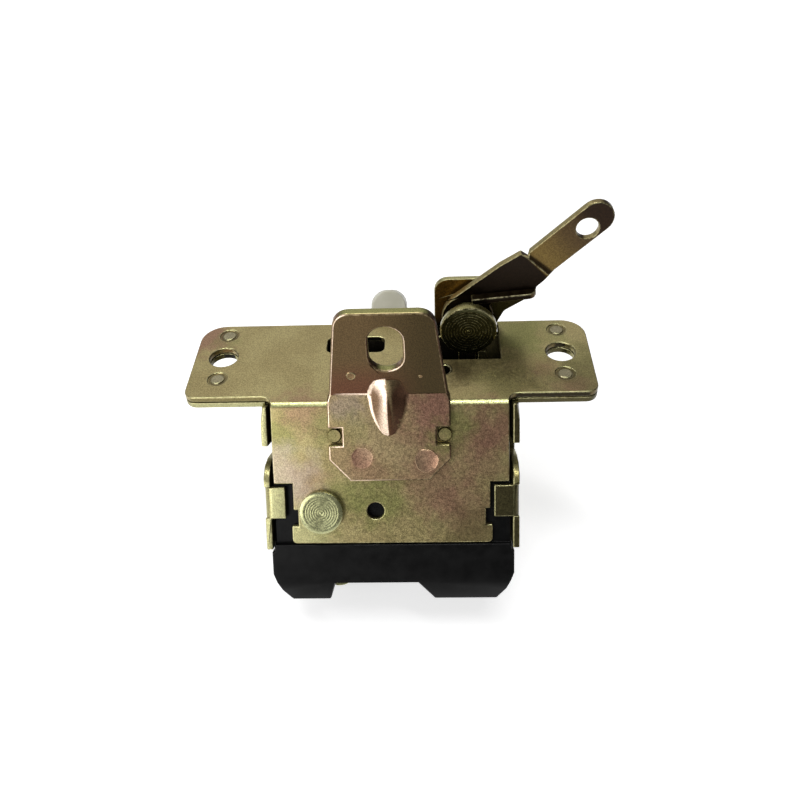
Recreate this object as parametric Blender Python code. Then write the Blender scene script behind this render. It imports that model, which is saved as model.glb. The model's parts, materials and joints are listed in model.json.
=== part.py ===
"""Boot lock: a pressed steel latch with a release lever, modelled from its sheet-metal parts.

The mounting flange is horizontal. The origin lies midway between the two mounting holes, in the
plane of the flange's underside. X runs along the flange, +Y to the rear, +Z up. The front plate
leaves the flange at a slope, and the mechanism turns in planes parallel to that plate.
"""
import bpy
import bmesh
from math import acos, asin, cos, degrees, radians, sin, tan
from mathutils import Matrix, Vector

MM = 0.001
FIT = 0.3 * MM                      # clearance between neighbouring pieces

# Sheet metal and flange
SHEET = 2.0 * MM                    # front plate and rear casing
SLOPE = radians(32.24)              # front plate, from the vertical
PLATE_TOP_Y = -23.53 * MM           # where plate and flange surfaces would meet
CASING_DEPTH = 35.0 * MM            # front surface of the plate to the back of the casing
TAB_SETBACK = 0.592 * MM            # the casing's bent corner, in front of the casing's back
FLANGE_HALF = 65.0 * MM             # half the width over both wings
FLANGE_FRONT = -20.0 * MM           # front edge of the wings
FLANGE_REAR = PLATE_TOP_Y + (CASING_DEPTH - TAB_SETBACK) / cos(SLOPE)
FRONT_CORNER_R = 4.0 * MM
REAR_CORNER_R = 8.0 * MM
NECK_FILLET_R = 3.0 * MM            # between a wing and the front plate
HOLE_X = FLANGE_HALF - 9.6 * MM     # mounting holes, from the middle
HOLE_R = 4.75 * MM
CLINCH_X = FLANGE_HALF - 9.5 * MM   # press joints between the two wing layers
CLINCH_FRONT_Y = -11.0 * MM
CLINCH_REAR_Y = FLANGE_REAR - 5.45 * MM
CLINCH_RING_R = 3.1 * MM
CLINCH_BUTTON_R = 2.25 * MM
CLINCH_DEPTH = 0.35 * MM

# Front plate
PLATE_BEND_R = 3.0 * MM
PLATE_HALF = 36.9 * MM
PLATE_LENGTH = 45.2 * MM            # down the slope from the bend
PLATE_CORNER_R = 1.5 * MM
EAR_NOTCH_TOP = 25.5 * MM           # measured down the slope
EAR_NOTCH_X = PLATE_HALF - 5.9 * MM
SMALL_NOTCH_TOP = 34.1 * MM
SMALL_NOTCH_END = 39.3 * MM
SMALL_NOTCH_X = EAR_NOTCH_X - 1.4 * MM
LOWER_HALF = PLATE_HALF - 5.2 * MM  # plate half width below the notches
SIGHT_HOLE = (-5.0 * MM, 34.55 * MM)
SIGHT_HOLE_R = 2.66 * MM
BOSS_X = 17.07 * MM
BOSS_DOWN = 9.93 * MM
BOSS_R = 2.25 * MM
BOSS_HEIGHT = 1.5 * MM
SLOT_X0, SLOT_X1 = -21.4 * MM, -2.3 * MM
SLOT_WIDTH = 8.0 * MM
SLOT_Y1 = FLANGE_REAR - 7.55 * MM
SLOT_Y0 = SLOT_Y1 - SLOT_WIDTH
SLOT_CORNER_R = 2.0 * MM
TOOL_HOLE = (17.0 * MM, -8.2 * MM)
TOOL_HOLE_R = 2.2 * MM
WINDOW_FRONT_Y = -3.0 * MM          # front edge of the lever window

# Rear casing
SIDE_CLEAR = 1.2 * MM               # between the plate's edge and the casing's side
CASING_HALF = PLATE_HALF + SIDE_CLEAR + SHEET
CASING_END = 47.2 * MM              # lower edge, down the slope
CASING_BEND_R = 3.0 * MM            # between the back and the sides, outside
SIDE_TAB_TOP = 1.0 * MM
SIDE_TAB_END = 13.4 * MM
SIDE_TAB_LEAN = 1.0 * MM            # how far the tab's upper corner is dressed in
SIDE_TAB_LEAN_END = 7.0 * MM        # where it is back at full width
SIDE_TAB_LEAN_DEPTH = 3.9 * MM
SIDE_GAP_END = 18.6 * MM
SIDE_GAP_DEPTH = 16.0 * MM
SIDE_SHOULDER = 23.4 * MM
EAR_TOP = 26.7 * MM
EAR_END = 36.8 * MM
LEFT_EAR_REACH = 6.7 * MM           # how far an ear folds in over the plate's notch
RIGHT_EAR_REACH = 7.9 * MM
EAR_BEND_R = 2.6 * MM
TAB_X0, TAB_X1 = 14.6 * MM, 35.55 * MM
TAB_TIP_X = 46.0 * MM
TAB_ROOT = 9.0 * MM                 # from the tab's bend down the casing's back
SEAM = 0.02 * MM                    # the tab's root is this much inside the back's two faces
TAB_HEIGHT = 18.6 * MM              # above the flange
TAB_FLARE_X, TAB_FLARE_UP = 2.4 * MM, 5.3 * MM
TAB_CORNER_R = 4.5 * MM
TAB_BEND_R = 4.0 * MM

# Striker housing
HOUSING_HALF = CASING_HALF - 1.6 * MM
HOUSING_WALL = 3.0 * MM             # skirt behind the front plate
HOUSING_SKIRT_TOP = 26.0 * MM
HOUSING_NECK_TOP = 45.6 * MM
HOUSING_SHELF = 47.6 * MM
HOUSING_SIDE_END = 55.5 * MM
HOUSING_CHAMFER_X = HOUSING_HALF - 2.3 * MM
HOUSING_CHAMFER_END = 61.5 * MM
LUG_TOP = 58.4 * MM
LUG_END = 65.6 * MM
LUG_OUTER_X = HOUSING_HALF - 5.3 * MM
LUG_SLOPE_DEPTH = 4.0 * MM
MOUTH_LEFT, MOUTH_RIGHT = -18.5 * MM, 7.75 * MM
MOUTH_LEFT_END, MOUTH_RIGHT_END = -20.75 * MM, 13.2 * MM
MOUTH_WALL = 5.8 * MM               # front wall of the striker channel
CHANNEL_X = -4.0 * MM               # path of the striker
CHANNEL_HALF = 5.8 * MM
CHANNEL_BACK = 31.0 * MM
FUNNEL_TOP = 50.5 * MM
BUFFER_TOP, BUFFER_END = 26.5 * MM, 31.2 * MM
BUFFER_HALF = 5.0 * MM
BUFFER_GAP = 0.5 * MM               # between the buffer and the fork

# Fork, turning on the big rivet
FORK_X, FORK_DOWN = -22.0 * MM, 34.3 * MM
FORK_FRONT = 8.2 * MM               # depth of its front face below the plate surface
FORK_THICK = 4.0 * MM
FORK_OPEN_ANGLE = 60.0              # from latched to open, degrees
FORK_HUB_R = 13.0 * MM
FORK_LOW_R = 14.0 * MM              # rim that the pawl drops onto
FORK_HIGH_R = 17.5 * MM             # rim that holds the pawl off
FORK_STEP_ANGLE = -91.0             # latched, clockwise from +X
FORK_HIGH_SPAN = FORK_OPEN_ANGLE + 2.0
UPPER_JAW_R = 22.0 * MM
LOWER_JAW_R = 29.0 * MM
JAW_SLOT_HALF = 4.9 * MM
JAW_FLARE = 3.5                     # widens the slot at the lower jaw's tip, degrees
JAW_TIP_R = 2.5 * MM
JAW_TIP_SPAN = 14.0                 # width of the lower jaw's tip, degrees
SLOT_SEAT_R = 18.0 * MM
FORK_SWING_GAP = 0.8 * MM
RIVET_R = 4.0 * MM
RIVET_HEAD_R = 6.85 * MM
RIVET_HEAD = 2.3 * MM
RIVET_TAIL_R = 6.0 * MM
RIVET_TAIL = 1.8 * MM
SPACER_WALL = 1.9 * MM

# Pawl and what turns with it
PAWL_X, PAWL_DOWN = 11.2 * MM, 18.0 * MM
PAWL_HUB_R = 6.5 * MM
PAWL_TIP_WIDTH = 3.3 * MM
PAWL_ARM_TOP = 12.2 * MM
SHAFT_R = 3.0 * MM
SHAFT_FLANGE_R = 4.8 * MM
SHAFT_FLANGE = 1.5 * MM
SHAFT_SPACER_WALL = 1.7 * MM
CRANK_THICK = 2.5 * MM
CRANK_WALL_GAP = 0.5 * MM
FINGER_WIDTH = 2.8 * MM
FINGER_GAP = 0.6 * MM
ARM_THICK = 2.5 * MM
ARM_WASHER = 0.7 * MM
ARM_HALF = 4.0 * MM
ARM_TIP_X = -1.1 * MM
ARM_TIP_UP = 30.6 * MM
CAP_HALF = 6.25 * MM
CAP_BOTTOM, CAP_TOP = 23.2 * MM, 32.9 * MM
CAP_WALL = 1.5 * MM
CAP_CORNER_R = 4.6 * MM
CLIP_THICK = 0.7 * MM
CLIP_R = 5.0 * MM

# Release lever
LEVER_X, LEVER_UP = 25.5 * MM, 6.1 * MM       # its axis, above the flange surface
LEVER_THICK = 2.5 * MM
LEVER_GAP = 1.15 * MM               # between lever and tab
LEVER_HUB_R = 8.5 * MM
LEVER_ARM_ANGLE = radians(43.86)
ARM_EDGE_TOP, ARM_EDGE_LOW = 3.05 * MM, -7.55 * MM
LEVER_REACH = 57.2 * MM
LEVER_HOLE = (47.6 * MM, -3.1 * MM)
LEVER_HOLE_R = 3.5 * MM
JOGGLE = 2.5 * MM
JOGGLE_RAMP = 1.4 * MM
JOGGLE_TOP, JOGGLE_LOW = (28.0 * MM, 5.0 * MM), (29.4 * MM, -7.0 * MM)
LIP_DEPTH = 3.0 * MM
LIP_THICK = 2.0 * MM
LIP_TOP = 8.65 * MM                 # its upper face above the lever axis
TAIL_HALF = 3.0 * MM
TAIL_BEND_R = 2.8 * MM
TAIL_TIP_UP = 8.0 * MM              # above the plate's bend, along the slope
PIN_R = 3.5 * MM
PIN_HEAD_R = 9.25 * MM
PIN_HEAD = 2.9 * MM
COLLAR_R = 6.3 * MM
COLLAR_LENGTH = 4.6 * MM
LEVER_WASHER_R = 7.0 * MM
LEVER_WASHER = 0.55 * MM

# Guide bracket for the lock cylinder
BRACKET_SHEET = 3.0 * MM
BRACKET_HALF = 18.8 * MM
BRACKET_FOOT = 24.0 * MM            # lower edge, down the slope
BRACKET_CHAMFER_TOP = 17.2 * MM
BRACKET_FOOT_HALF = 12.2 * MM
BRACKET_NOTCH_TOP, BRACKET_NOTCH_END = 7.3 * MM, 12.6 * MM
BRACKET_NOTCH_X = BOSS_X - BOSS_R - FIT
BRACKET_FACE_Y = -24.55 * MM
BRACKET_BEND_HALF = 18.0 * MM
BRACKET_TOP_HALF = 14.2 * MM
BRACKET_HEIGHT = 34.3 * MM          # above the flange
BRACKET_CORNER_R = 5.0 * MM
BRACKET_BEND_R = 4.0 * MM
GUIDE_HALF = 5.05 * MM
GUIDE_LOW, GUIDE_HIGH = 13.5 * MM, 29.4 * MM
BRACKET_BEND_UP = 4.5 * MM          # its bend, above the flange
RIB_HALF = 6.3 * MM
RIB_RISE = 7.1 * MM                 # above the bend
RIB_DOWN = 14.0 * MM                # below the bend
RIB_BULGE = 1.3 * MM                # of its ridge, beyond the straight line

# Springs
FORK_COIL_R, FORK_WIRE_R = 8.0 * MM, 0.8 * MM
PAWL_COIL_R, PAWL_WIRE_R = 6.6 * MM, 0.6 * MM
COIL_TURNS = 5
COIL_STEPS = 14
SPRING_LEG = 8.0 * MM

LAYER_GAP = FIT                     # between the two wing layers
FLANGE_TOP = 2 * SHEET + LAYER_GAP  # height of the upper wing surface
ROUND = 28                          # sides of a round hole or shank

# Frames: plate (X, up the slope, outward), its side view, the front view and the flange's side view
SLOPE_UP = Vector((0, sin(SLOPE), cos(SLOPE)))
OUTWARD = Vector((0, -cos(SLOPE), sin(SLOPE)))
ALONG = Vector((1, 0, 0))
PLATE_ORIGIN = Vector((0, PLATE_TOP_Y, FLANGE_TOP))


def frame_of(x_axis, y_axis, z_axis, origin):
    columns = Matrix((x_axis, y_axis, z_axis)).transposed().to_4x4()
    return Matrix.Translation(origin) @ columns


PLATE = frame_of(ALONG, SLOPE_UP, OUTWARD, PLATE_ORIGIN)
PLATE_SIDE = frame_of(SLOPE_UP, OUTWARD, ALONG, PLATE_ORIGIN)
FRONT_VIEW = frame_of(ALONG, Vector((0, 0, 1)), Vector((0, -1, 0)), Vector((0, 0, 0)))
SIDE_VIEW = frame_of(Vector((0, 1, 0)), Vector((0, 0, 1)), ALONG, Vector((0, 0, 0)))
PLAN = Matrix.Identity(4)


def clear_scene():
    for obj in list(bpy.data.objects):
        bpy.data.objects.remove(obj, do_unlink=True)


def material(name, colour, roughness, metallic):
    mat = bpy.data.materials.new(name)
    mat.use_nodes = True
    shader = mat.node_tree.nodes["Principled BSDF"]
    shader.inputs["Base Color"].default_value = (*colour, 1)
    shader.inputs["Roughness"].default_value = roughness
    shader.inputs["Metallic"].default_value = metallic
    mat.diffuse_color = (*colour, 1)
    return mat


# Outlines

def arc(centre, radius, start, end, steps):
    """Points on an arc, angles in degrees, both ends included."""
    points = []
    for i in range(steps + 1):
        a = radians(start + (end - start) * i / steps)
        points.append((centre[0] + radius * cos(a), centre[1] + radius * sin(a)))
    return points


def circle(centre, radius, steps=ROUND):
    return arc(centre, radius, 0, 360, steps)[:-1]


def rounded(corners, steps=5):
    """Closed outline from (x, y, radius) corners, each corner filleted by its own radius."""
    points = []
    count = len(corners)
    for i, (x, y, radius) in enumerate(corners):
        here = Vector((x, y))
        if radius == 0:
            points.append((x, y))
            continue
        before = (Vector(corners[i - 1][:2]) - here).normalized()
        after = (Vector(corners[(i + 1) % count][:2]) - here).normalized()
        half = acos(max(-1, min(1, before.dot(after)))) / 2
        start = here + before * (radius / tan(half))
        end = here + after * (radius / tan(half))
        centre = here + (before + after).normalized() * (radius / sin(half))
        for k in range(steps + 1):
            chord = (start - centre).lerp(end - centre, k / steps)
            turn = 2 * (radians(90) - half)
            if turn > 0.01:
                sweep = k / steps * turn
                a, b = start - centre, end - centre
                chord = (a * sin(turn - sweep) + b * sin(sweep)) / sin(turn)
            points.append(tuple(centre + chord))
    return points


def mirrored(outline):
    return [(-x, y) for x, y in reversed(outline)]


def bent_strip(corner, way_a, length_a, way_b, length_b, thickness, radius, steps=6):
    """Section of a sheet bent once. The corner is where its outer faces would meet."""
    corner, way_a, way_b = Vector(corner), Vector(way_a).normalized(), Vector(way_b).normalized()
    half = acos(way_a.dot(way_b)) / 2
    inward = (way_a + way_b).normalized()
    centre = corner + inward * (radius / sin(half))
    normals = []
    for way in (way_a, way_b):
        side = Vector((-way.y, way.x))
        normals.append(side if side.dot(inward) < 0 else -side)
    turn = acos(normals[0].dot(normals[1]))
    outer, inner = [], []
    for k in range(steps + 1):
        sweep = turn * k / steps
        normal = (normals[0] * sin(turn - sweep) + normals[1] * sin(sweep)) / sin(turn)
        outer.append(centre + normal * radius)
        inner.append(centre + normal * (radius - thickness))
    end_a, end_b = corner + way_a * length_a, corner + way_b * length_b
    outline = [end_a, *outer, end_b, end_b - normals[1] * thickness, *reversed(inner),
               end_a - normals[0] * thickness]
    return [tuple(p) for p in outline]


# Solids

def finish(name, bm, frame, mat):
    bmesh.ops.recalc_face_normals(bm, faces=bm.faces)
    mesh = bpy.data.meshes.new(name)
    bm.to_mesh(mesh)
    bm.free()
    obj = bpy.data.objects.new(name, mesh)
    obj.matrix_world = frame
    if mat:
        mesh.materials.append(mat)
    bpy.context.scene.collection.objects.link(obj)
    return obj


def extruded(name, outline, low, high, frame, mat=None):
    bm = bmesh.new()
    base = bm.faces.new([bm.verts.new((x, y, low)) for x, y in outline])
    grown = bmesh.ops.extrude_face_region(bm, geom=[base])["geom"]
    top = [v for v in grown if isinstance(v, bmesh.types.BMVert)]
    bmesh.ops.translate(bm, verts=top, vec=(0, 0, high - low))
    return finish(name, bm, frame, mat)


def turned(name, profile, frame, mat=None, steps=ROUND):
    """A profile of (radius, height) points, turned about the frame's Z axis."""
    bm = bmesh.new()
    rings = []
    for radius, height in profile:
        if radius == 0:
            rings.append([bm.verts.new((0, 0, height))])
        else:
            rings.append([bm.verts.new((x, y, height)) for x, y in circle((0, 0), radius, steps)])
    for a, b in zip(rings, rings[1:] + rings[:1]):
        for i in range(steps):
            j = (i + 1) % steps
            if len(a) == 1 and len(b) == 1:
                break
            loop = [a[i % len(a)], a[j % len(a)], b[j % len(b)], b[i % len(b)]]
            bm.faces.new(list(dict.fromkeys(loop)))
    obj = finish(name, bm, frame, mat)
    obj.data.shade_smooth()
    obj.data.set_sharp_from_angle(angle=radians(35))
    return obj


def tube(name, inner, outer, low, high, frame, mat):
    return turned(name, [(inner, low), (outer, low), (outer, high), (inner, high)], frame, mat)


def hull(name, points, frame, mat=None):
    bm = bmesh.new()
    for point in points:
        bm.verts.new(point)
    bmesh.ops.convex_hull(bm, input=bm.verts)
    loose = [v for v in bm.verts if not v.link_faces]
    bmesh.ops.delete(bm, geom=loose, context="VERTS")
    return finish(name, bm, frame, mat)


def combine(target, tool, operation):
    modifier = target.modifiers.new(tool.name, "BOOLEAN")
    modifier.operation = operation
    modifier.solver = "EXACT"
    modifier.object = tool
    tool.hide_render = True
    tool.display_type = "WIRE"


def cut(target, *tools):
    for tool in tools:
        combine(target, tool, "DIFFERENCE")


def join(target, *tools):
    for tool in tools:
        combine(target, tool, "UNION")


def wire(name, points, radius, frame, mat):
    curve = bpy.data.curves.new(name, "CURVE")
    curve.dimensions = "3D"
    curve.bevel_depth = radius
    curve.bevel_resolution = 1
    curve.use_fill_caps = True
    spline = curve.splines.new("POLY")
    spline.points.add(len(points) - 1)
    for slot, point in zip(spline.points, points):
        slot.co = (*point, 1)
    curve.materials.append(mat)
    obj = bpy.data.objects.new(name, curve)
    obj.matrix_world = frame
    bpy.context.scene.collection.objects.link(obj)
    return obj


def coil_points(radius, low, high, turns, leg, leg_angle):
    """A torsion spring about Z with a straight leg off each end."""
    points = []
    total = turns * COIL_STEPS
    for i in range(total + 1):
        a = leg_angle + radians(360) * i / COIL_STEPS
        points.append(Vector((radius * cos(a), radius * sin(a), low + (high - low) * i / total)))
    start_way = (points[0] - points[1]).normalized()
    end_way = (points[-1] - points[-2]).normalized()
    start_way.z = end_way.z = 0
    return [points[0] + start_way * leg] + points + [points[-1] + end_way * leg]


def on_plate(x, down, depth=0.0):
    """Frame at a point of the front plate, its Z axis along the plate's outward normal."""
    return PLATE @ Matrix.Translation((x, -down, -depth))


def mounting_hole(name, side):
    """Cutter for one wing's mounting hole, which goes through both layers."""
    return extruded(name, circle((side * HOLE_X, 0), HOLE_R), -SHEET, 2 * FLANGE_TOP, PLAN)


def wing_trims(name, side):
    """Cutters that trim one side of the flange to a wing, with a neck beside the plate."""
    corner = (FLANGE_HALF - FRONT_CORNER_R, FLANGE_FRONT + FRONT_CORNER_R)
    far = 2 * FLANGE_HALF
    front = arc(corner, FRONT_CORNER_R, 0, -90, 6)
    front += rounded([(PLATE_HALF + NECK_FILLET_R + FIT, FLANGE_FRONT, 0),
                      (PLATE_HALF, FLANGE_FRONT, NECK_FILLET_R), (PLATE_HALF, -far, 0)])
    front += [(far, -far), (far, corner[1])]
    rear_corner = (FLANGE_HALF - REAR_CORNER_R, FLANGE_REAR - REAR_CORNER_R)
    rear = arc(rear_corner, REAR_CORNER_R, 90, 0, 8)
    rear += [(far, rear_corner[1]), (far, 2 * FLANGE_REAR), (rear_corner[0], 2 * FLANGE_REAR)]
    cutters = []
    for label, outline in (("front", front), ("rear", rear)):
        shape = outline if side > 0 else mirrored(outline)
        cutters.append(extruded(f"{name}_{label}", shape, -far, far, PLAN))
    return cutters


def front_plate(zinc):
    section = bent_strip((PLATE_TOP_Y, FLANGE_TOP), (1, 0), FLANGE_REAR - PLATE_TOP_Y,
                         (-sin(SLOPE), -cos(SLOPE)), PLATE_LENGTH, SHEET, PLATE_BEND_R)
    plate = extruded("front_plate", section, -FLANGE_HALF, FLANGE_HALF, SIDE_VIEW, zinc)
    notch = [(EAR_NOTCH_X, -EAR_NOTCH_TOP), (2 * PLATE_HALF, -EAR_NOTCH_TOP),
             (2 * PLATE_HALF, -2 * PLATE_LENGTH),
             (LOWER_HALF - PLATE_CORNER_R, -2 * PLATE_LENGTH)]
    notch += arc((LOWER_HALF - PLATE_CORNER_R, -PLATE_LENGTH + PLATE_CORNER_R), PLATE_CORNER_R,
                 -90, 0, 4)
    notch += [(LOWER_HALF, -SMALL_NOTCH_END), (SMALL_NOTCH_X, -SMALL_NOTCH_END),
              (SMALL_NOTCH_X, -SMALL_NOTCH_TOP), (EAR_NOTCH_X, -SMALL_NOTCH_TOP)]
    for side, word in ((-1, "left"), (1, "right")):
        cut(plate, *wing_trims(f"plate_trim_{word}", side),
            mounting_hole(f"plate_hole_{word}", side))
        shape = notch if side > 0 else mirrored(notch)
        cut(plate, extruded(f"ear_notch_{word}", shape, -2 * SHEET, SHEET, PLATE))
        for y, place in ((CLINCH_FRONT_Y, "front"), (CLINCH_REAR_Y, "rear")):
            spot = Matrix.Translation((side * CLINCH_X, y, FLANGE_TOP))
            cut(plate, tube(f"clinch_{word}_{place}", CLINCH_BUTTON_R, CLINCH_RING_R,
                            -CLINCH_DEPTH, SHEET, spot, None))
        boss = on_plate(side * BOSS_X, BOSS_DOWN)
        edge = 0.3 * MM
        join(plate, turned(f"boss_{word}",
                           [(0, -SHEET / 2), (BOSS_R, -SHEET / 2), (BOSS_R, BOSS_HEIGHT - edge),
                            (BOSS_R - edge, BOSS_HEIGHT), (0, BOSS_HEIGHT)], boss, None, 20))
    holes = {"rivet_hole": (on_plate(FORK_X, FORK_DOWN), RIVET_R + FIT),
             "shaft_hole": (on_plate(PAWL_X, PAWL_DOWN), SHAFT_R + FIT),
             "sight_hole": (on_plate(*SIGHT_HOLE), SIGHT_HOLE_R),
             "tool_hole": (Matrix.Translation((*TOOL_HOLE, FLANGE_TOP)), TOOL_HOLE_R)}
    for name, (spot, radius) in holes.items():
        cut(plate, extruded(name, circle((0, 0), radius), -2 * SHEET, SHEET, spot))
    slot = rounded([(SLOT_X0, SLOT_Y0, SLOT_CORNER_R), (SLOT_X1, SLOT_Y0, SLOT_CORNER_R),
                    (SLOT_X1, SLOT_Y1, SLOT_CORNER_R), (SLOT_X0, SLOT_Y1, SLOT_CORNER_R)], 3)
    window = [(TAB_X0 - FIT, WINDOW_FRONT_Y), (TAB_X1 + FIT, WINDOW_FRONT_Y),
              (TAB_X1 + FIT, 2 * FLANGE_REAR), (TAB_X0 - FIT, 2 * FLANGE_REAR)]
    for name, outline in (("flange_slot", slot), ("lever_window", window)):
        cut(plate, extruded(name, outline, 0, 2 * FLANGE_TOP, PLAN))
    return plate


def side_notch():
    """What is missing from a casing side above its ears, as (up the slope, outward) points."""
    gap = -SIDE_GAP_DEPTH
    return [(-SIDE_TAB_END, SHEET), (-SIDE_TAB_END, gap), (-SIDE_GAP_END, gap),
            (-SIDE_GAP_END - 0.2 * MM, gap / 2),
            (-0.66 * SIDE_GAP_END - 0.34 * SIDE_SHOULDER, gap / 5),
            (-SIDE_SHOULDER, -FIT), (-SIDE_SHOULDER, SHEET)]


def above_wings():
    """What lies above the lower wing layer and the side tabs, as (up the slope, outward)."""
    inside_wing = SHEET / 2 - FLANGE_TOP
    wing_front = FLANGE_FRONT + SHEET / 2 - PLATE_TOP_Y
    front = (wing_front * sin(SLOPE) + inside_wing * cos(SLOPE),
             inside_wing * sin(SLOPE) - wing_front * cos(SLOPE))
    far = 2 * CASING_DEPTH
    rear = ((inside_wing + far * sin(SLOPE)) / cos(SLOPE), -far)
    return [(-SIDE_TAB_TOP, SHEET), (-SIDE_TAB_TOP, front[1]), front, rear,
            (rear[0] + far, -far), (rear[0] + far, SHEET)]


def casing_channel():
    """Section of the casing across the slope: the back and both sides, bent from one sheet."""
    inner = CASING_HALF - SHEET
    outside = rounded([(-CASING_HALF, -FIT, 0), (-CASING_HALF, -CASING_DEPTH, CASING_BEND_R),
                       (CASING_HALF, -CASING_DEPTH, CASING_BEND_R), (CASING_HALF, -FIT, 0)], 5)
    inside = rounded([(inner, -FIT, 0), (inner, SHEET - CASING_DEPTH, CASING_BEND_R - SHEET),
                      (-inner, SHEET - CASING_DEPTH, CASING_BEND_R - SHEET), (-inner, -FIT, 0)], 3)
    return outside + inside


def tab_outline():
    """The pivot tab as seen from the front, with the stray arm that backs the lever."""
    low = FLANGE_TOP - TAB_ROOT - TAB_BEND_R
    root = FLANGE_TOP + FIT
    top = FLANGE_TOP + TAB_HEIGHT
    return rounded([(TAB_X0, low, 0), (TAB_X1, low, 0), (TAB_X1, root, FIT),
                    (TAB_X1 + TAB_FLARE_X, root + TAB_FLARE_UP, 3 * MM),
                    (TAB_TIP_X, root + 2 * TAB_FLARE_UP, 2 * MM), (TAB_TIP_X, top, 2 * MM),
                    (TAB_X0, top, TAB_CORNER_R)], 5)


def tab_lean(name, side):
    """Cutter that takes the front upper corner off a side tab, along one slanting face."""
    deep, high = -SIDE_TAB_LEAN_DEPTH, -SIDE_TAB_TOP
    corner = Vector((CASING_HALF - SIDE_TAB_LEAN, high, 0))
    slant = (Vector((CASING_HALF, -SIDE_TAB_LEAN_END, 0)) - corner).cross(
        Vector((CASING_HALF, high, deep)) - corner)
    points = []
    for y in (high + SIDE_TAB_TOP, -SIDE_TAB_LEAN_END - SIDE_TAB_LEAN):
        for z in (SHEET / 2, deep):
            x = corner.x - (slant.y * (y - high) + slant.z * z) / slant.x
            points += [(side * x, y, z), (side * (CASING_HALF + SHEET), y, z)]
    return hull(name, points, PLATE)


def rear_casing(zinc):
    down_frame = frame_of(ALONG, OUTWARD, -SLOPE_UP, PLATE_ORIGIN)
    casing = extruded("rear_casing", casing_channel(), -CASING_DEPTH, CASING_END, down_frame, zinc)
    cut(casing, extruded("above_wings", above_wings(), -FLANGE_HALF, FLANGE_HALF, PLATE_SIDE))
    bend = (FLANGE_REAR - SEAM, FLANGE_TOP - TAB_SETBACK / sin(SLOPE))
    strip = bent_strip(bend, (0, 1), TAB_HEIGHT + FLANGE_TOP - bend[1],
                       (-sin(SLOPE), -cos(SLOPE)), TAB_ROOT, SHEET - 2 * SEAM, TAB_BEND_R)
    tab = extruded("tab_strip", strip, TAB_X0, TAB_TIP_X, SIDE_VIEW)
    keep = extruded("tab_shape", tab_outline(), -2 * FLANGE_REAR, FLANGE_REAR, FRONT_VIEW)
    combine(tab, keep, "INTERSECT")
    wing = rounded([(CASING_HALF - SHEET / 2, FLANGE_FRONT, 0),
                    (FLANGE_HALF, FLANGE_FRONT, FRONT_CORNER_R),
                    (FLANGE_HALF, FLANGE_REAR, REAR_CORNER_R),
                    (CASING_HALF - SHEET / 2, FLANGE_REAR, 0)], 7)
    for side, word, reach in ((-1, "left", LEFT_EAR_REACH), (1, "right", RIGHT_EAR_REACH)):
        shape = wing if side > 0 else mirrored(wing)
        join(casing, extruded(f"wing_{word}", shape, 0, SHEET, PLAN))
        near, far = sorted((side * (CASING_HALF - 2 * SHEET), side * (CASING_HALF + SHEET)))
        ear_root = -EAR_BEND_R - SHEET
        ear_room = [(-EAR_TOP, SHEET), (-EAR_TOP, ear_root), (-EAR_END, ear_root),
                    (-EAR_END, SHEET)]
        cut(casing, extruded(f"side_notch_{word}", side_notch(), near, far, PLATE_SIDE),
            extruded(f"ear_room_{word}", ear_room, near, far, PLATE_SIDE))
        ear_frame = frame_of(ALONG * side, OUTWARD, SLOPE_UP * -side, PLATE_ORIGIN)
        ear = bent_strip((CASING_HALF, 0), (-1, 0), reach, (0, -1), 3 * SHEET, SHEET, EAR_BEND_R)
        ends = sorted((side * EAR_TOP, side * EAR_END))
        join(casing, extruded(f"ear_{word}", ear, *ends, ear_frame))
        cut(casing, mounting_hole(f"casing_hole_{word}", side),
            tab_lean(f"tab_lean_{word}", side))
    for name, spot, radius in (("rivet_seat", on_plate(FORK_X, FORK_DOWN), RIVET_R),
                               ("shaft_seat", on_plate(PAWL_X, PAWL_DOWN), SHAFT_R)):
        cut(casing, extruded(name, circle((0, 0), radius + FIT), -CASING_DEPTH - SHEET,
                             -CASING_DEPTH + 2 * SHEET, spot))
    join(casing, tab)
    cut(casing, extruded("pin_seat", circle((0, 0), PIN_R + FIT), -FLANGE_REAR, FLANGE_REAR,
                         lever_frame()))
    return casing


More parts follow.
